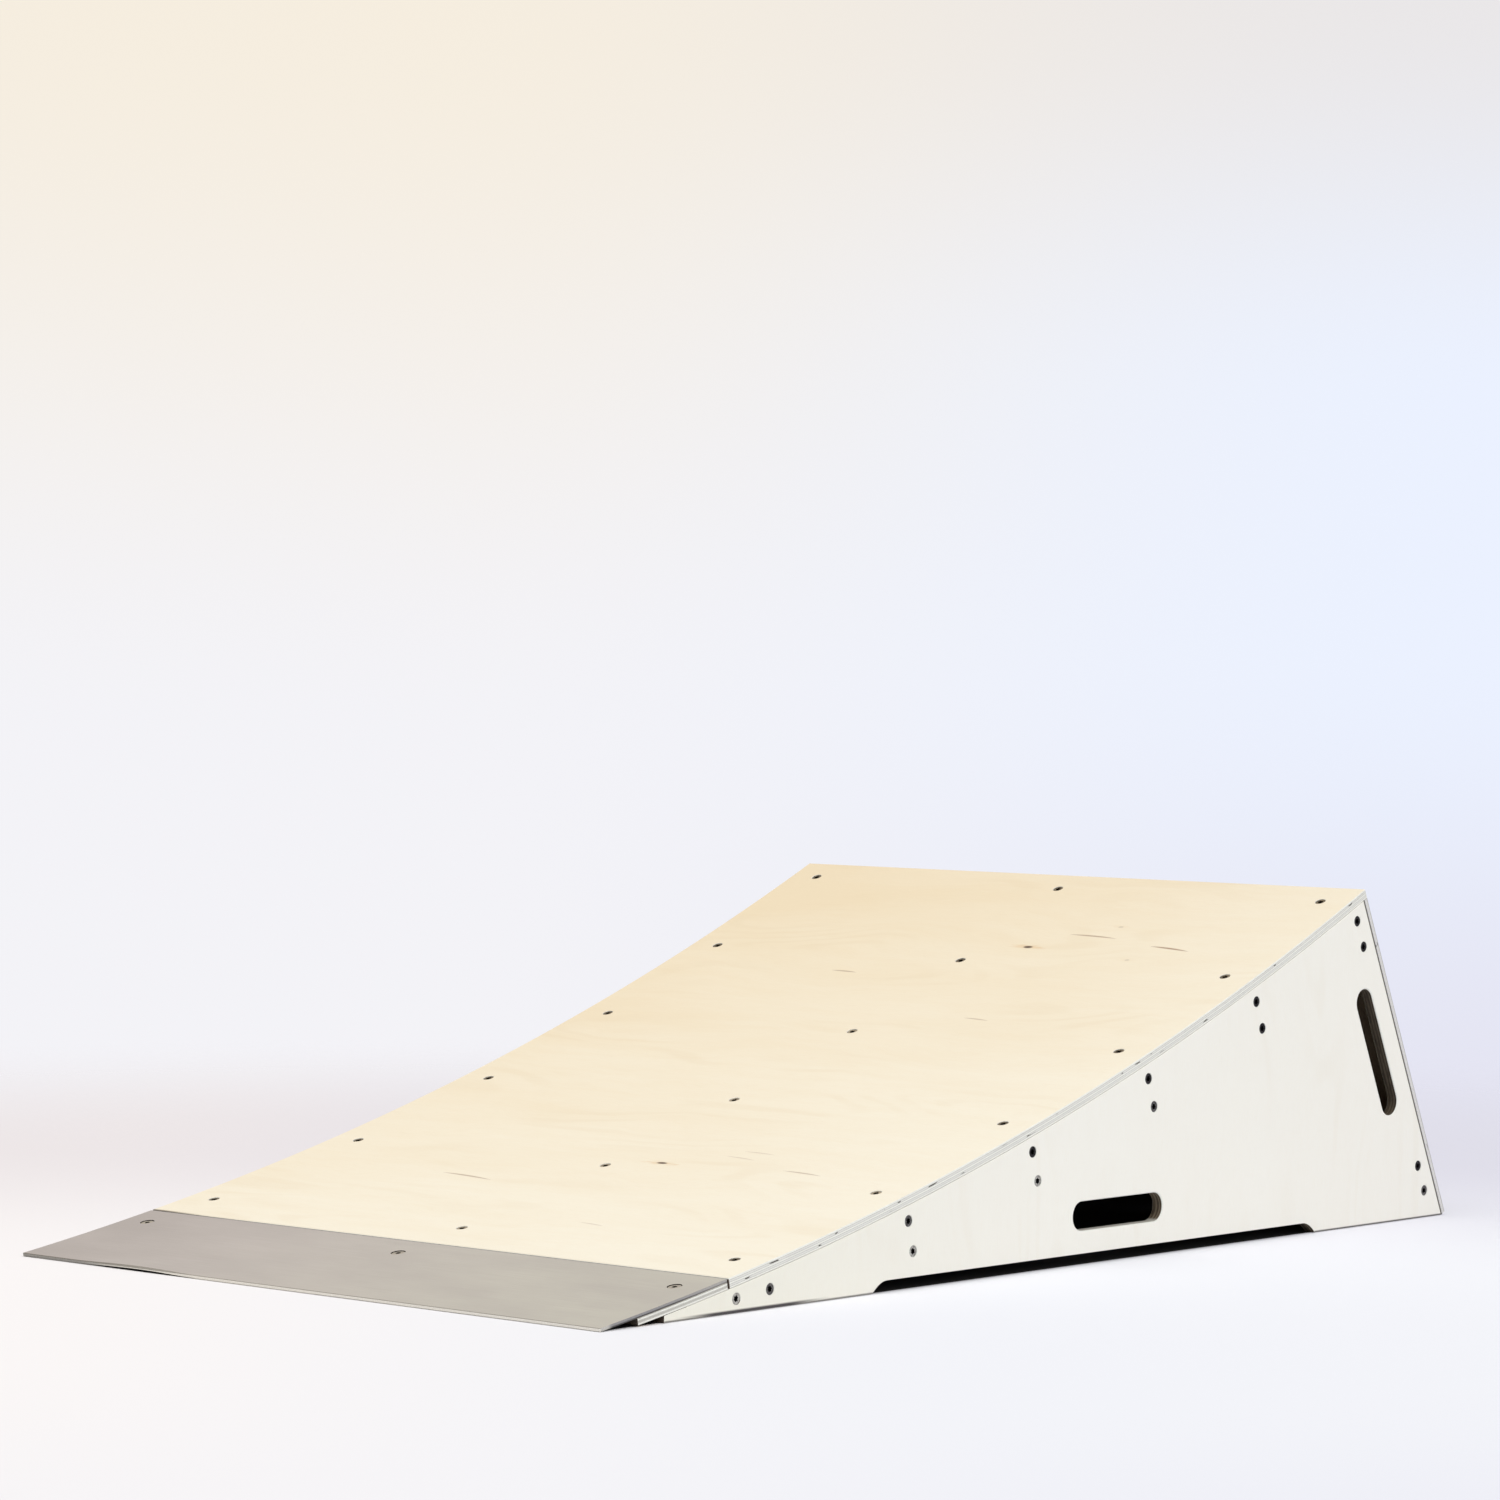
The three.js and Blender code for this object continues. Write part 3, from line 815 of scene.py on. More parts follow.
# Inner faces: raw veneer, painted browner partly as shade inside the ramp; the back panel's inner face
# is painted darker still, as shade
RAW_SHADED_VENEER = veneer("raw_shaded_inner_veneer", (0.6, 0.48, 0.33), (0.5, 0.38, 0.24), 0.2)
SHADED_INNER_VENEER = veneer("painted_shade_inner_veneer", (0.33, 0.25, 0.17), (0.26, 0.19, 0.12), 0.2)
FACE_EDGE = ply_edge("birch_sheet_edge", SHEET_THICKNESS, seam=True)
FRONT_EDGE = ply_edge("front_board_edge", SHEET_THICKNESS, dark=FRONT_CROSS_PLY)
SIDE_EDGE = ply_edge("birch_side_edge", SIDE_THICKNESS, SIDE_PLIES)
BACK_EDGE = ply_edge("birch_back_edge", BACK_THICKNESS, light=BACK_PLY, joint=True)
SLOT_EDGE = scorched_and_shaded_edge()
TIMBER = planed_timber()
PLATE_STEEL = brushed_steel()
GROUND_REFLECTING_EDGE = ground_reflecting_edge()
SHEARED_EDGE = sheared_edge()
DARK_SCREW = coated_metal("dark_screw_coating", (0.05, 0.045, 0.045), (0.02, 0.018, 0.02), 0.42)
FACE_SCREW = coated_metal("face_screw_coating", (0.33, 0.27, 0.19), (0.11, 0.088, 0.06), 0.42)
PALE_SCREW = coated_metal("rubbed_face_screw", (0.6, 0.53, 0.41), (0.32, 0.27, 0.2), 0.42)
# Painted light: lit and half lit copies of the dark screw coating, for side screws
GREY_SCREW = coated_metal("grey_screw_coating", (0.2, 0.19, 0.18), (0.08, 0.075, 0.075), 0.4)
PAINTED_LIT_SCREW = coated_metal("painted_lit_screw_coating", (0.58, 0.56, 0.51), (0.3, 0.285, 0.26), 0.38)
# Painted shade: recesses and holes painted near black
PAINTED_SHADE_RECESS = coated_metal("painted_shade_recess", (0.012, 0.011, 0.012), (0.006, 0.006, 0.006), 0.6)
# Painted shade: end grain painted near black where it lies in shadow under the plate and the board
PAINTED_SHADE_END = coated_metal("painted_shade_end_grain", (0.09, 0.07, 0.05), (0.05, 0.038, 0.028), 0.8, 0)
BOLT_STEEL = coated_metal("plate_bolt_steel", (0.55, 0.52, 0.47), (0.42, 0.39, 0.36), 0.34)
NUT_STEEL = coated_metal("nut_plating", (0.6, 0.6, 0.58), (0.45, 0.45, 0.44), 0.35)


# Finishing a piece

FACE_SHARE = 0.8
RIM_SHARE = 0.4


def finish_piece(piece, materials, pick=None, plan=None, replaced=()):
    """Gives a piece its materials, smooth shading and its place in the frame."""
    mesh = piece.data
    mesh.materials.clear()
    for material in materials:
        mesh.materials.append(material)
    if plan is not None:
        places = mesh.attributes.new("plan", "FLOAT_VECTOR", "POINT")
        for vert, place in zip(mesh.vertices, places.data):
            place.vector = plan(vert.co)
    for face in mesh.polygons:
        face.use_smooth = True
        if pick is not None:
            face.material_index = pick(face)
    mesh.set_sharp_from_angle(angle=SHARP_ANGLE)
    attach(piece, "root")
    if replaced:
        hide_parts(*replaced)


def arc_plan(point):
    place = arc_place(point)
    return (place.x, place.y, -place.z)


def side_plan(point):
    return (point.z, point.y, HALF_WIDTH - abs(point.x))


def rear_plan(point):
    place = rear_place(point)
    return (place.x, place.z, -place.y)


def pick_by_facing(facing):
    """0 on an outer face, 1 on an edge, 2 on an inner face, by how far it faces outwards."""
    if abs(facing) < FACE_SHARE:
        return 1
    return 0 if facing > 0 else 2


def pick_on_arc(face):
    up = Vector((0, ARC_Y, ARC_Z)) - Vector((0, face.center.y, face.center.z))
    return pick_by_facing(face.normal.dot(up.normalized()))


def pick_on_rear(face):
    return pick_by_facing(face.normal.dot(REAR_OUT))


# Sheets at the top


def plate_lift(place):
    aside = abs(place.x - BENT_MIDDLE) / BENT_REACH
    ahead = place.y / BENT_LENGTH
    if aside > 1 or ahead > 1:
        return 0
    return BENT_HEIGHT * (1 - aside**2) ** 2 * (1 - ahead) ** 2


def pick_on_plate(face):
    """0 on the plate's faces, 1 on its ground front, 2 on its other sheared edges, 3 in its holes,
    painted dark as shade.
    """
    place = arc_place(face.center)
    if place.y < PLATE_ROUNDING:
        return 1
    if abs(place.x) > HALF_WIDTH - PLATE_ROUNDING or place.y > PLATE_LENGTH - PLATE_ROUNDING / 4:
        return 2
    return 3 if pick_on_arc(face) == 1 else 0


def pick_on_board(face):
    """As on any sheet, with 3 on its front end, painted dark as shade under the plate."""
    if arc_place(face.center).y < BOARD_SETBACK + PLY_ROUNDING / 2:
        return 3
    return pick_on_arc(face)


def add_sheets(face_seats, bolt_seats):
    runs = (SHEET_START, RIDE_LENGTH)
    sheet = arc_slab("fine_riding_sheet", runs, (-SHEET_THICKNESS, 0), PLY_ROUNDING)
    drill(sheet, face_seats, SCREW)
    materials = [FACE_VENEER, FACE_EDGE, RAW_SHADED_VENEER]
    finish_piece(sheet, materials, pick_on_arc, arc_plan, ["riding_sheet"])

    runs = (0, PLATE_LENGTH)
    plate = arc_slab("fine_entry_plate", runs, (-PLATE_THICKNESS, 0), PLATE_ROUNDING, plate_lift)
    drill(plate, bolt_seats, BOLT)
    materials = [PLATE_STEEL, GROUND_REFLECTING_EDGE, SHEARED_EDGE, PAINTED_SHADE_RECESS]
    finish_piece(plate, materials, pick_on_plate, arc_plan, ["entry_plate"])

    runs = (BOARD_SETBACK, PLATE_LENGTH)
    rises = (-SHEET_THICKNESS, -PLATE_THICKNESS - FIT_GAP)
    board = arc_slab("fine_front_board", runs, rises, PLY_ROUNDING)
    drill(board, bolt_seats, BOLT)
    materials = [FACE_VENEER, FRONT_EDGE, RAW_SHADED_VENEER, PAINTED_SHADE_END]
    finish_piece(board, materials, pick_on_board, arc_plan, ["front_board"])


# Side panels


def arc_heights(from_y, to_y, steps):
    """Points on the line where the frame meets the riding sheet, from one place to another."""
    radius = RIDE_RADIUS + FRAME_DEPTH
    places = [from_y + (to_y - from_y) * i / steps for i in range(steps + 1)]
    return [(y, ARC_Z - math.sqrt(radius**2 - (y - ARC_Y) ** 2)) for y in places]


def side_outline():
    """Floor, relief, rear edge along the back panel, and the arc on top."""
    relief_from = PANEL_FRONT + FRONT_FOOT_LENGTH
    rear_floor = rear_point((0, -SIDE_INSET, -drop_to_floor(SIDE_INSET)))
    relief_to = rear_floor.y - REAR_FOOT_LENGTH
    rear_top = rear_point((0, -SIDE_INSET, -FRAME_DEPTH))
    shares = [i / CURVE_STEPS for i in range(CURVE_STEPS + 1)]
    flare = [(RELIEF_FLARE * share, RELIEF_HEIGHT * share * (2 - share)) for share in shares]
    outline = [(PANEL_FRONT, 0)]
    outline += [(relief_from + y, z) for y, z in flare]
    outline += [(relief_to - y, z) for y, z in reversed(flare)]
    outline.append((rear_floor.y, 0))
    return outline + arc_heights(rear_top.y, PANEL_FRONT, ARC_SECTIONS)


def slot_ring(x, centre, angle, grow):
    """A slot's outline at one distance across the ramp, wider by what it grows."""
    reach = (SLOT_LENGTH - SLOT_WIDTH) / 2
    radius = SLOT_WIDTH / 2 + grow
    half = RIM_STEPS // 2
    points = []
    for end, start in ((reach, -math.pi / 2), (-reach, math.pi / 2)):
        for i in range(half + 1):
            turn = angle + start + math.pi * i / half
            y = centre.y + end * math.cos(angle) + radius * math.cos(turn)
            z = centre.z + end * math.sin(angle) + radius * math.sin(turn)
            points.append(Vector((x, y, z)))
    return points


def cut_slots(panel, sign):
    cutter = bmesh.new()
    inner = HALF_WIDTH - SIDE_THICKNESS
    wide = CUT_OVERRUN + SLOT_RIM
    for centre, angle in SLOTS:
        places = [
            (inner - CUT_OVERRUN, wide),
            (inner + SLOT_RIM, 0),
            (HALF_WIDTH - SLOT_RIM, 0),
            (HALF_WIDTH + CUT_OVERRUN, wide),
        ]
        loft(cutter, [slot_ring(sign * x, centre, angle, grow) for x, grow in places])
    cut(panel, cutter)


def in_slot(point):
    """Whether a point of a side panel is on a hand slot's wall."""
    half_length = SLOT_LENGTH / 2 + 2 * SLOT_RIM
    half_width = SLOT_WIDTH / 2 + 2 * SLOT_RIM
    for centre, angle in SLOTS:
        turned = Matrix.Rotation(-angle, 3, "X") @ (point - centre)
        if abs(turned.y) < half_length and abs(turned.z) < half_width:
            return True
    return False


def pick_on_side(face):
    """0 on the outer face, 1 on the edges, 2 on the inner face, 4 on the nose, which is painted dark as
    shade.

    3 on the walls of the slots and of the relief, which the cutter scorched and which are painted dark
    as shade.
    """
    if face.normal.y < -FACE_SHARE and face.center.y < PANEL_FRONT + PLY_ROUNDING:
        return 4
    facing = face.normal.x * math.copysign(1, face.center.x)
    # Slot and relief walls take the scorched brown, which is also painted shade
    scorched = in_slot(face.center) or face.center.z < RELIEF_HEIGHT + PLY_ROUNDING
    return 3 if scorched and abs(facing) <= RIM_SHARE else pick_by_facing(facing)


def add_side_panels(side_seats):
    outline = side_outline()
    for side, sign in (("left", -1), ("right", 1)):
        low_x, high_x = sorted([sign * HALF_WIDTH, sign * (HALF_WIDTH - SIDE_THICKNESS)])
        panel = prism_across(f"fine_side_panel_{side}", outline, low_x, high_x, PLY_ROUNDING)
        cut_slots(panel, sign)
        drill(panel, side_seats[side].values(), SCREW)
        materials = [SIDE_VENEER, SIDE_EDGE, RAW_SHADED_VENEER, SLOT_EDGE, PAINTED_SHADE_END]
        finish_piece(panel, materials, pick_on_side, side_plan, [f"side_panel_{side}"])


# Back panel, battens and front block


def add_back_panel(seats):
    low = (-HALF_WIDTH, -BACK_THICKNESS, -drop_to_floor(BACK_THICKNESS))
    high = (HALF_WIDTH, 0, -FRAME_DEPTH)
    work = rounded_box(low, high, PLY_ROUNDING)
    place_verts(work, rear_point)
    panel = link_mesh("fine_back_panel", work)
    drill(panel, seats, BACK_SCREW)
    materials = [BACK_VENEER, BACK_EDGE, SHADED_INNER_VENEER]
    finish_piece(panel, materials, pick_on_rear, rear_plan, ["back_panel"])


def add_batten(node, slope, screw_seats, back_seats):
    """A planed batten, where its node's middle is."""
    size = Vector((INNER_HALF_WIDTH, BATTEN_WIDTH / 2, BATTEN_DEPTH / 2))
    middle = box_middle(node)
    matrix = Matrix.Translation(middle) @ Matrix.Rotation(slope, 4, "X")
    back = matrix.inverted()
    work = rounded_box(-size, size, TIMBER_ROUNDING)
    place_verts(work, lambda place: matrix @ place)
    batten = link_mesh(f"fine_{node}", work)
    drill(batten, screw_seats, SCREW)
    if back_seats:
        drill(batten, back_seats, BACK_SCREW)

    def plan(point):
        place = back @ point
        return (place.x, place.y + middle.y, place.z + middle.y)

    finish_piece(batten, [TIMBER], None, plan, [node])


NUT_BARREL_RADIUS = 4 * MM
NUT_BARREL_LENGTH = 8 * MM
NUT_WALL = 0.7 * MM
NUT_FLANGE_RADIUS = 9.5 * MM
NUT_FLANGE_LOW = 0.35 * MM
NUT_FLANGE_HIGH = 1.35 * MM


def bolt_foot(seat, floor_gap):
    """Where a bolt's axis comes out of the block's underside."""
    return seat.top - seat.axis * ((seat.top.z - floor_gap) / seat.axis.z)


def pick_on_block(face):
    """0 all over, but 1 on its front, painted dark as shade."""
    return 1 if face.normal.y < -FACE_SHARE else 0


def add_front_block(screw_seats, bolt_seats):
    low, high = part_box("front_block")
    outline = [(low[1], low[2]), (high[1], low[2])] + arc_heights(high[1], low[1], CURVE_STEPS)
    block = prism_across(
        "fine_front_block", outline, -INNER_HALF_WIDTH, INNER_HALF_WIDTH, TIMBER_ROUNDING / 3
    )
    drill(block, screw_seats, SCREW)
    drill(block, bolt_seats, BOLT)
    cutter = bmesh.new()
    for seat in bolt_seats:
        foot = Seat(bolt_foot(seat, low[2]), seat.axis)
        barrel = NUT_BARREL_RADIUS + FIT_GAP
        loft(cutter, [circle(barrel, -CUT_OVERRUN), circle(barrel, NUT_BARREL_LENGTH)], foot.matrix)
    cut(block, cutter)
    finish_piece(block, [TIMBER, PAINTED_SHADE_END], pick_on_block, arc_plan, ["front_block"])


# Fasteners

RECESS_RADIUS = 2.4 * MM
RECESS_LOBE = 0.35 * MM
RECESS_DEPTH = 1.9 * MM
SCREW_CREASE = 0.12 * MM
SCREW_RECESS_RINGS = 5
HEX_RADIUS = 2.3 * MM
HEX_DEPTH = 2.2 * MM
THREAD_PITCH = 1 * MM
THREAD_DEPTH = 0.35 * MM
BOLT_CREASE = 0.15 * MM
BOLT_RECESS_RINGS = 4
RANDOM_SEED = 11
random.seed(RANDOM_SEED)


def screw_rings(kind):
    """A countersunk screw with a six lobed recess, its head's top at height 0."""
    size = kind.head_radius / SCREW.head_radius
    recess = RECESS_RADIUS * size
    lobe = RECESS_LOBE * size
    depth = RECESS_DEPTH * size
    crease = SCREW_CREASE
    return [
        [Vector((0, 0, -kind.length))],
        circle(kind.radius, -kind.length + TIP_LENGTH),
        circle(kind.radius, -HEAD_EDGE - (kind.head_radius - kind.radius)),
        circle(kind.head_radius, -HEAD_EDGE),
        circle(kind.head_radius, -crease),
        circle(kind.head_radius - crease, 0),
        circle(recess + 3 * crease, -crease / 3, lobe=lobe / 2),
        circle(recess + crease, -crease / 2, lobe=lobe),
        circle(recess, -2 * crease, lobe=lobe),
        circle(recess, -depth, lobe=lobe),
        circle(recess / 3, -depth - 2 * crease),
        [Vector((0, 0, -depth - 3 * crease))],
    ]


def add_fastener(name, seat, rings, recess_rings, coating, replaced=()):
    """A fastener of rings. Its recess is painted dark as shade: the faces skinned after those outside.
    """
    work = bmesh.new()
    turn = Matrix.Rotation(random.uniform(0, math.pi / 3), 4, "Z")
    loft(work, rings, seat.matrix @ turn)
    piece = link_mesh(name, work)
    outside = RIM_STEPS * (len(rings) - recess_rings)

    def pick(face):
        return 1 if face.index >= outside else 0

    finish_piece(piece, [coating, PAINTED_SHADE_RECESS], pick, None, replaced)


def add_screw(name, seat, kind, coating, replaced=()):
    add_fastener(name, seat, screw_rings(kind), SCREW_RECESS_RINGS, coating, replaced)


def hexagon(radius, height):
    """A hexagon with as many points as a ring."""
    points = circle(radius * math.cos(math.pi / 6), height)
    for i, point in enumerate(points):
        aside = 2 * math.pi * i / RIM_STEPS % (math.pi / 3) - math.pi / 6
        point.xy /= math.cos(aside)
    return points


def bolt_rings(length):
    """A countersunk bolt with a hexagon socket, its head's top at height 0."""
    core = BOLT.radius - THREAD_DEPTH
    rings = [circle(core - THREAD_DEPTH, -length), circle(core, -length + THREAD_DEPTH)]
    cone_bottom = -HEAD_EDGE - (BOLT.head_radius - BOLT.radius)
    height = -length + 2 * THREAD_DEPTH
    while height < cone_bottom - THREAD_PITCH:
        rings += [circle(core, height), circle(BOLT.radius, height + THREAD_PITCH / 2)]
        height += THREAD_PITCH
    return rings + [
        circle(BOLT.radius, cone_bottom),
        circle(BOLT.head_radius, -HEAD_EDGE),
        circle(BOLT.head_radius, -BOLT_CREASE),
        circle(BOLT.head_radius - BOLT_CREASE, 0),
        hexagon(HEX_RADIUS + 2 * BOLT_CREASE, 0),
        hexagon(HEX_RADIUS, -2 * BOLT_CREASE),
        hexagon(HEX_RADIUS, -HEX_DEPTH),
        [Vector((0, 0, -HEX_DEPTH - HEX_RADIUS / 3))],
    ]


def add_plate_bolts(seats):
    floor_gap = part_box("front_block")[0][2]
    for node, seat in seats.items():
        foot = bolt_foot(seat, floor_gap)
        rings = bolt_rings((seat.top - foot).length - FIT_GAP)
        add_fastener(f"fine_{node}", seat, rings, BOLT_RECESS_RINGS, BOLT_STEEL, [node])
        add_nut(node.replace("plate_bolt", "bolt_nut"), foot, seat.axis)


def add_nut(name, foot, axis):
    """A flanged nut pressed into the block from below, its flange flat under it."""
    bore = NUT_BARREL_RADIUS - NUT_WALL
    flat = Matrix.Translation(Vector((foot.x, foot.y, 0)))
    barrel = Seat(foot, axis).matrix
    top = NUT_BARREL_LENGTH - FIT_GAP
    places = [
        (flat, bore, NUT_FLANGE_LOW),
        (flat, NUT_FLANGE_RADIUS, NUT_FLANGE_LOW),
        (flat, NUT_FLANGE_RADIUS, NUT_FLANGE_HIGH),
        (flat, NUT_BARREL_RADIUS, NUT_FLANGE_HIGH),
        (barrel, NUT_BARREL_RADIUS, top),
        (barrel, bore, top),
    ]
    rings = [[matrix @ point for point in circle(radius, height)] for matrix, radius, height in places]
    work = bmesh.new()
    loft(work, rings, closed=True)
    finish_piece(link_mesh(name, work), [NUT_STEEL])


# Putting the ramp together

face_seats = seats_of("face_screw")
bolt_seats = seats_of("plate_bolt")
side_seats = {side: seats_of(f"side_screw_{side}") for side in ("left", "right")}

# The rear bottom batten's lower screws, as far below the upper ones as in the pair above
spare_screws = []
for side, seats in side_seats.items():
    pair = f"side_screw_{side}_rear_top_batten"
    step = seats[f"{pair}_lower"].top - seats[f"{pair}_upper"].top
    name = f"side_screw_{side}_rear_bottom_batten_lower"
    upper = seats[f"side_screw_{side}_rear_bottom_batten_upper"]
    seats[name] = Seat(upper.top + step, upper.axis)
    spare_screws.append(name)

# The back panel's screws, three into each rear batten
REAR_BATTENS = ("rear_top_batten", "rear_bottom_batten")
back_seats = {}
for batten in REAR_BATTENS:
    rise = rear_place(box_middle(batten)).z
    for place, sign in (("left", -1), ("middle", 0), ("right", 1)):
        x = sign * (HALF_WIDTH - BACK_SCREW_INSET)
        seat = Seat(rear_point((x, -HEAD_SINK, rise)), REAR_OUT)
        back_seats[f"back_screw_{batten}_{place}"] = seat


def side_row(word):
    """Every side screw's seat whose name holds a word."""
    return [seat for seats in side_seats.values() for name, seat in seats.items() if word in name]


def face_row(number):
    return [seat for name, seat in face_seats.items() if name.startswith(f"face_screw_{number}_")]


add_sheets(face_seats.values(), bolt_seats.values())
add_side_panels(side_seats)
add_back_panel(back_seats.values())
for i in range(1, STANDING_BATTENS + 1):
    batten = f"batten_{i}"
    slope = slope_at(arc_place(box_middle(batten)).y)
    add_batten(batten, slope, face_row(i + 1) + side_row(f"_{batten}_"), [])
top_row = face_row(STANDING_BATTENS + 2)
for batten, row in zip(REAR_BATTENS, (top_row, [])):
    panel_screws = [seat for name, seat in back_seats.items() if batten in name]
    add_batten(batten, REAR_SLOPE, side_row(batten) + row, panel_screws)
add_front_block(face_row(1) + side_row("front_block"), list(bolt_seats.values()))

# Screws painted paler than the others, by how their names end: the face's are rubbed, and the sides'
# paler and grey ones are lit and half lit copies of the dark coating, as painted light
RUBBED_HEADS = ("_1_middle", "_2_middle", "_2_right", "_3_middle", "_4_middle")
LIT_HEADS = ("_front_block_1", "_batten_1_lower", "_batten_2_lower")
GREY_HEADS = ("_front_block_2", "_batten_1_upper", "_batten_3_lower", "_rear_bottom_batten_lower")

for name, seat in face_seats.items():
    coating = PALE_SCREW if name.endswith(RUBBED_HEADS) else FACE_SCREW
    add_screw(f"fine_{name}", seat, SCREW, coating, [name])
for seats in side_seats.values():
    for name, seat in seats.items():
        coating = DARK_SCREW
        if name.endswith(LIT_HEADS):
            coating = PAINTED_LIT_SCREW
        elif name.endswith(GREY_HEADS):
            coating = GREY_SCREW
        if name in spare_screws:
            add_screw(name, seat, SCREW, coating)
        else:
            add_screw(f"fine_{name}", seat, SCREW, coating, [name])
for name, seat in back_seats.items():
    add_screw(name, seat, BACK_SCREW, DARK_SCREW)
add_plate_bolts(bolt_seats)


# The photograph's viewpoint
CAMERA_PLACE = Vector((3.06084, -3.55818, 0.54313))
CAMERA_RIGHT = Vector((0.75475278, 0.65591727, 0.01098968))
CAMERA_UP = Vector((-0.02078905, 0.00717098, 0.99975817))
CAMERA_AHEAD = Vector((-0.65567984, 0.75479873, -0.01904822))
LENS = 120.386
SENSOR = 36.0
HALF_VIEW = SENSOR / 2 / LENS
FARTHEST_SEEN = 100

# Stage: a pale floor that fades away all round, so that no edge of it shows
FLOOR_RADIUS = 3.0
FLOOR_SIDES = 96
FLOOR_DROP = 0.3 * MM
FLOOR_FADE_FROM = 1.05
FLOOR_FADE_TO = 2.4
NEAR_FLOOR = ((0.93, 0.895, 0.885), (0.86, 0.868, 0.91))
# The far floor is painted darker, most to the right: painted shade where the floor meets the backdrop
SHADED_FAR_FLOOR = ((0.815, 0.765, 0.77), (0.71, 0.7, 0.78))


def add_floor():
    work = bmesh.new()
    bmesh.ops.create_circle(work, cap_ends=True, radius=FLOOR_RADIUS, segments=FLOOR_SIDES)
    floor = link_mesh("floor", work)
    floor.location.z = -FLOOR_DROP
    maker = Maker("pale_floor")
    position = maker.add("NewGeometry", {}, "Position")
    distance = maker.add("VectorMath", {0: position}, "Value", operation="LENGTH")
    shown = distance.fade(FLOOR_FADE_FROM, FLOOR_FADE_TO, 1, 0)
    rightward = position.dot(CAMERA_RIGHT).fade(-0.75, 0.25)
    rearward = position.dot(CAMERA_AHEAD).fade(-0.35, 0.75)
    # Painted shade: the floor darkens rearward
    colour = maker.mix(rearward, maker.mix(rightward, *NEAR_FLOOR), maker.mix(rightward, *SHADED_FAR_FLOOR))
    diffuse = maker.add("BsdfDiffuse", {"Color": colour})
    clear = maker.add("BsdfTransparent", {})
    faded = maker.add("MixShader", {0: shown, 1: clear, 2: diffuse})
    maker.show(faded, "Material Output", "Principled BSDF")
    floor.data.materials.append(maker.owner)


# A black card laid under the ramp, where there is only shade: painted shade
CARD_RISE = 0.15 * MM
CARD_INSET = 5 * MM
CARD_SETBACK = 3 * MM
CARD_SETBACK_BENT = 0.4 * MM
SHADE_CARD_BLACK = (0.012, 0.012, 0.014)
CARD_BEND = 0.9 * BENT_REACH


def add_shade_card():
    """A thin black card on the floor under the ramp: painted shade, which makes its shadow there black.

    Its front comes nearer the plate's edge where that is bent up.
    """
    side = HALF_WIDTH - CARD_INSET
    front = TIP_Y + CARD_SETBACK
    bent_front = TIP_Y + CARD_SETBACK_BENT
    rear = rear_point((0, 0, -drop_to_floor(0))).y - CARD_INSET
    outline = [
        (-side, front),
        (BENT_MIDDLE - CARD_BEND, front),
        (BENT_MIDDLE - BENT_REACH / 2, bent_front),
        (BENT_MIDDLE + BENT_REACH / 2, bent_front),
        (BENT_MIDDLE + CARD_BEND, front),
        (side, front),
        (side, rear),
        (-side, rear),
    ]
    work = bmesh.new()
    work.faces.new([work.verts.new((x, y, CARD_RISE - FLOOR_DROP)) for x, y in outline])
    card = link_mesh("painted_shade_card", work)
    maker = Maker("painted_shade_black_card", SHADE_CARD_BLACK)
    card.data.materials.append(maker.finish(1))


def add_camera():
    camera = link("camera", bpy.data.cameras.new("camera"))
    camera.data.lens = LENS
    camera.data.sensor_width = SENSOR
    camera.data.clip_end = FARTHEST_SEEN
    turn = Matrix((CAMERA_RIGHT, CAMERA_UP, -CAMERA_AHEAD)).transposed().to_4x4()
    camera.matrix_world = Matrix.Translation(CAMERA_PLACE) @ turn
    bpy.context.scene.camera = camera


WHITE = (1, 1, 1)
WARM_WHITE = (0.92, 0.85, 0.74)
PLAIN_WHITE = (0.9, 0.895, 0.93)
COOL_WHITE = (0.83, 0.88, 1)
LAVENDER_WHITE = (0.78, 0.78, 0.89)
GREY_WHITE = (0.82, 0.8, 0.81)
SKY_AT_HORIZON = 0.15
SKY_OVERHEAD = 0.8
BELOW_HORIZON = 0.75


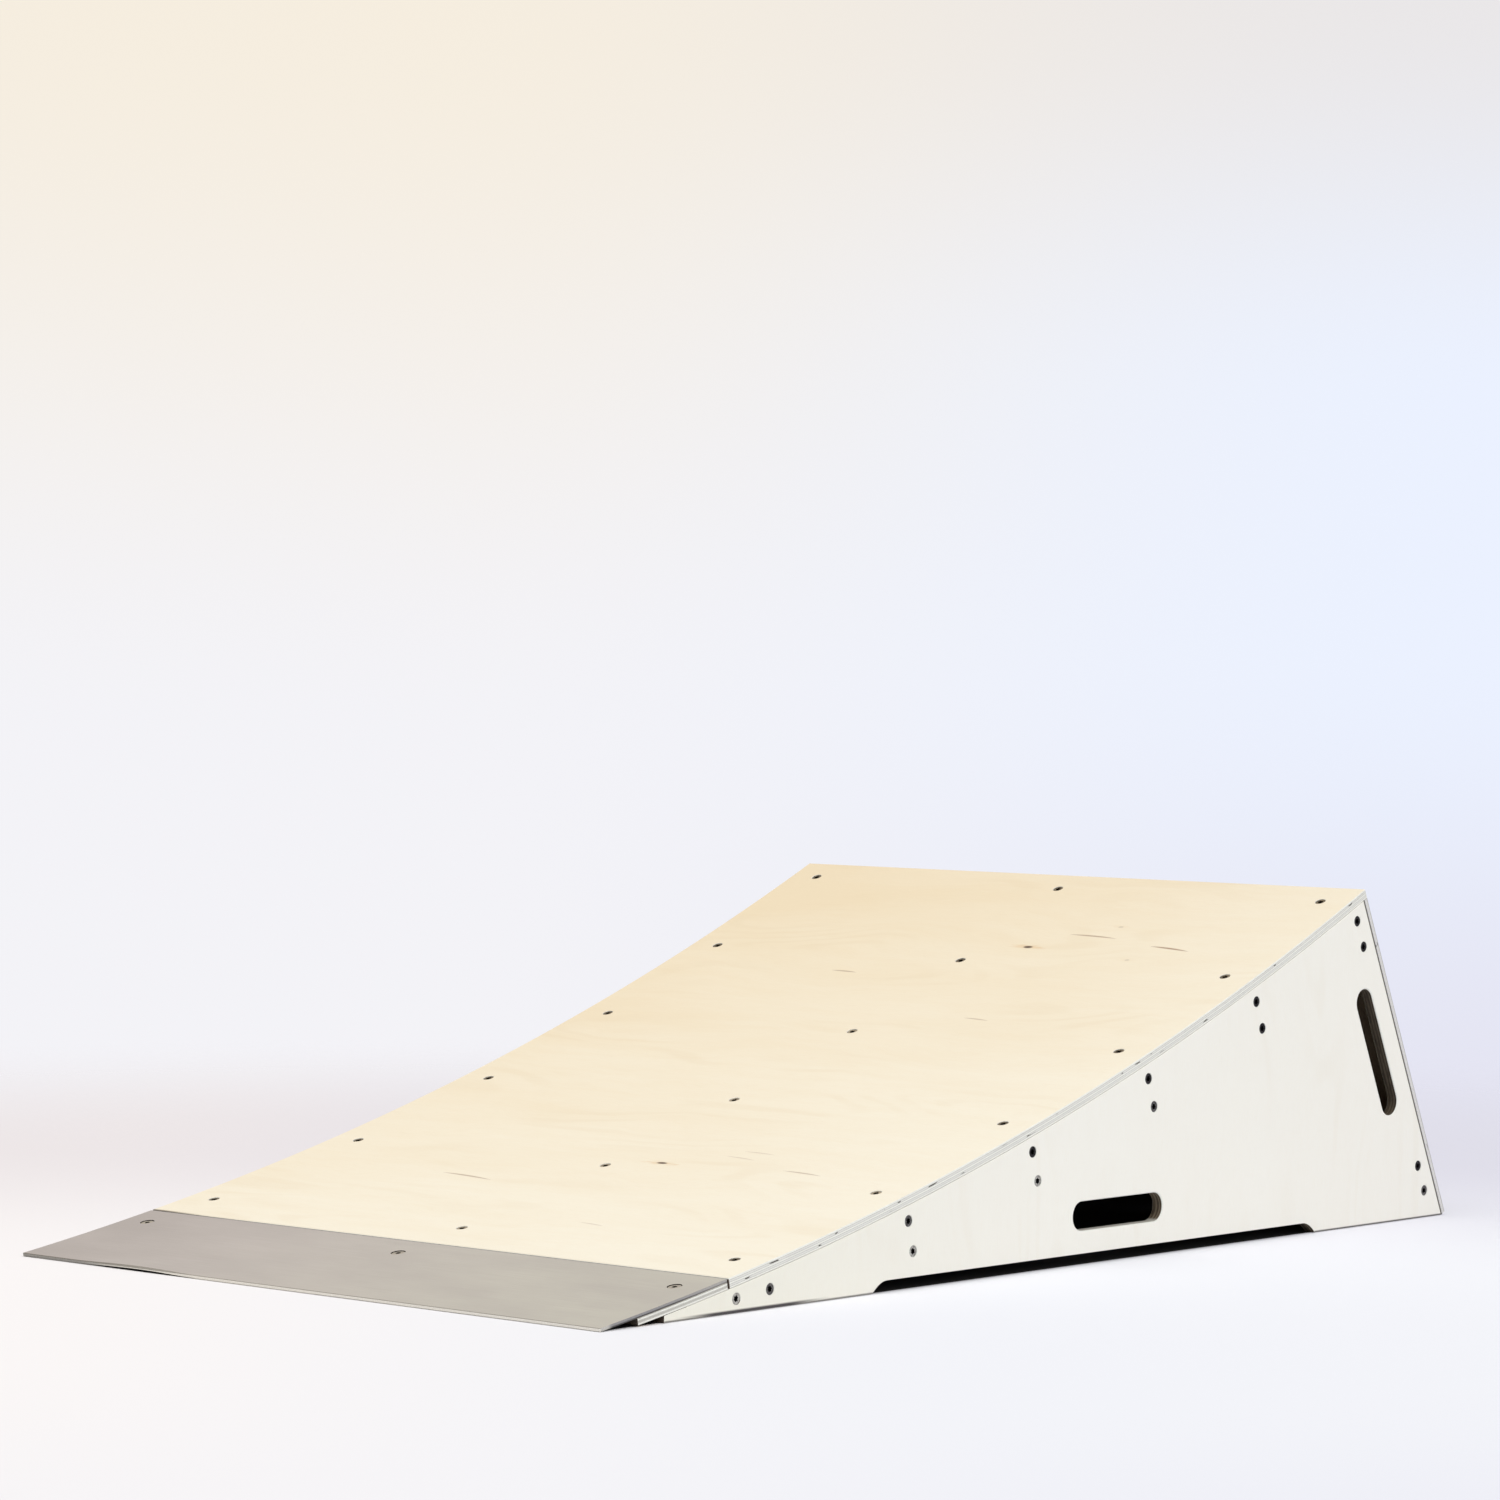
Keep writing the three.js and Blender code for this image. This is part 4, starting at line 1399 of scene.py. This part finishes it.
def add_world():
    """A plain even light, and the pale backdrop that the camera and gloss see."""
    maker = Maker("studio", family="worlds")
    bpy.context.scene.world = maker.owner
    way = maker.add("TexCoord", {}, "Generated")

    def share(direction, low, high):
        """0 to 1 as the view turns from low to high, in half views."""
        return way.dot(direction).fade(low * HALF_VIEW, high * HALF_VIEW)

    left_tone = maker.mix(share(CAMERA_UP, 0, 1), PLAIN_WHITE, WARM_WHITE)
    right_tone = maker.mix(share(CAMERA_UP, -0.5, 0.15), LAVENDER_WHITE, COOL_WHITE)
    right_tone = maker.mix(share(CAMERA_UP, 0.45, 1), right_tone, GREY_WHITE)
    backdrop = maker.mix(share(CAMERA_RIGHT, -0.45, 1), left_tone, right_tone)
    rays = [maker.add("LightPath", {}, f"Is {ray} Ray") for ray in ("Camera", "Glossy", "Transmission")]
    seen = rays[0].larger(rays[1]).larger(rays[2])
    up = maker.add("SeparateXYZ", {0: way}, "Z")
    sky_level = up.fade(0, 1, SKY_AT_HORIZON, SKY_OVERHEAD, "LINEAR")
    level = up.math("LESS_THAN", 0).math("MULTIPLY_ADD", BELOW_HORIZON, sky_level)
    sky = maker.add("Background", {"Color": WHITE, "Strength": level})
    wall = maker.add("Background", {"Color": backdrop, "Strength": 1})
    lit = maker.add("MixShader", {0: seen, 1: sky, 2: wall})
    maker.show(lit, "World Output", "Background")


# Broad soft lights from above, from the front and the right: strength, place and spread.
# Gloss shows the backdrop alone, so nothing glares from any side.
KEYS = {
    "front_key": (0.88, Vector((0.12, -0.55, 1.0)), math.radians(30)),
    "right_key": (1.04, Vector((1.0, 0.15, 0.85)), math.radians(14)),
}


def add_key(name, strength, place, spread):
    key = link(name, bpy.data.lights.new(name, "SUN"))
    key.data.energy = strength
    key.data.angle = spread
    key.visible_glossy = False
    key.rotation_euler = place.to_track_quat("Z", "Y").to_euler()


add_floor()
add_shade_card()
add_camera()
add_world()
for name, key in KEYS.items():
    add_key(name, *key)
bpy.context.scene.view_settings.view_transform = "Standard"
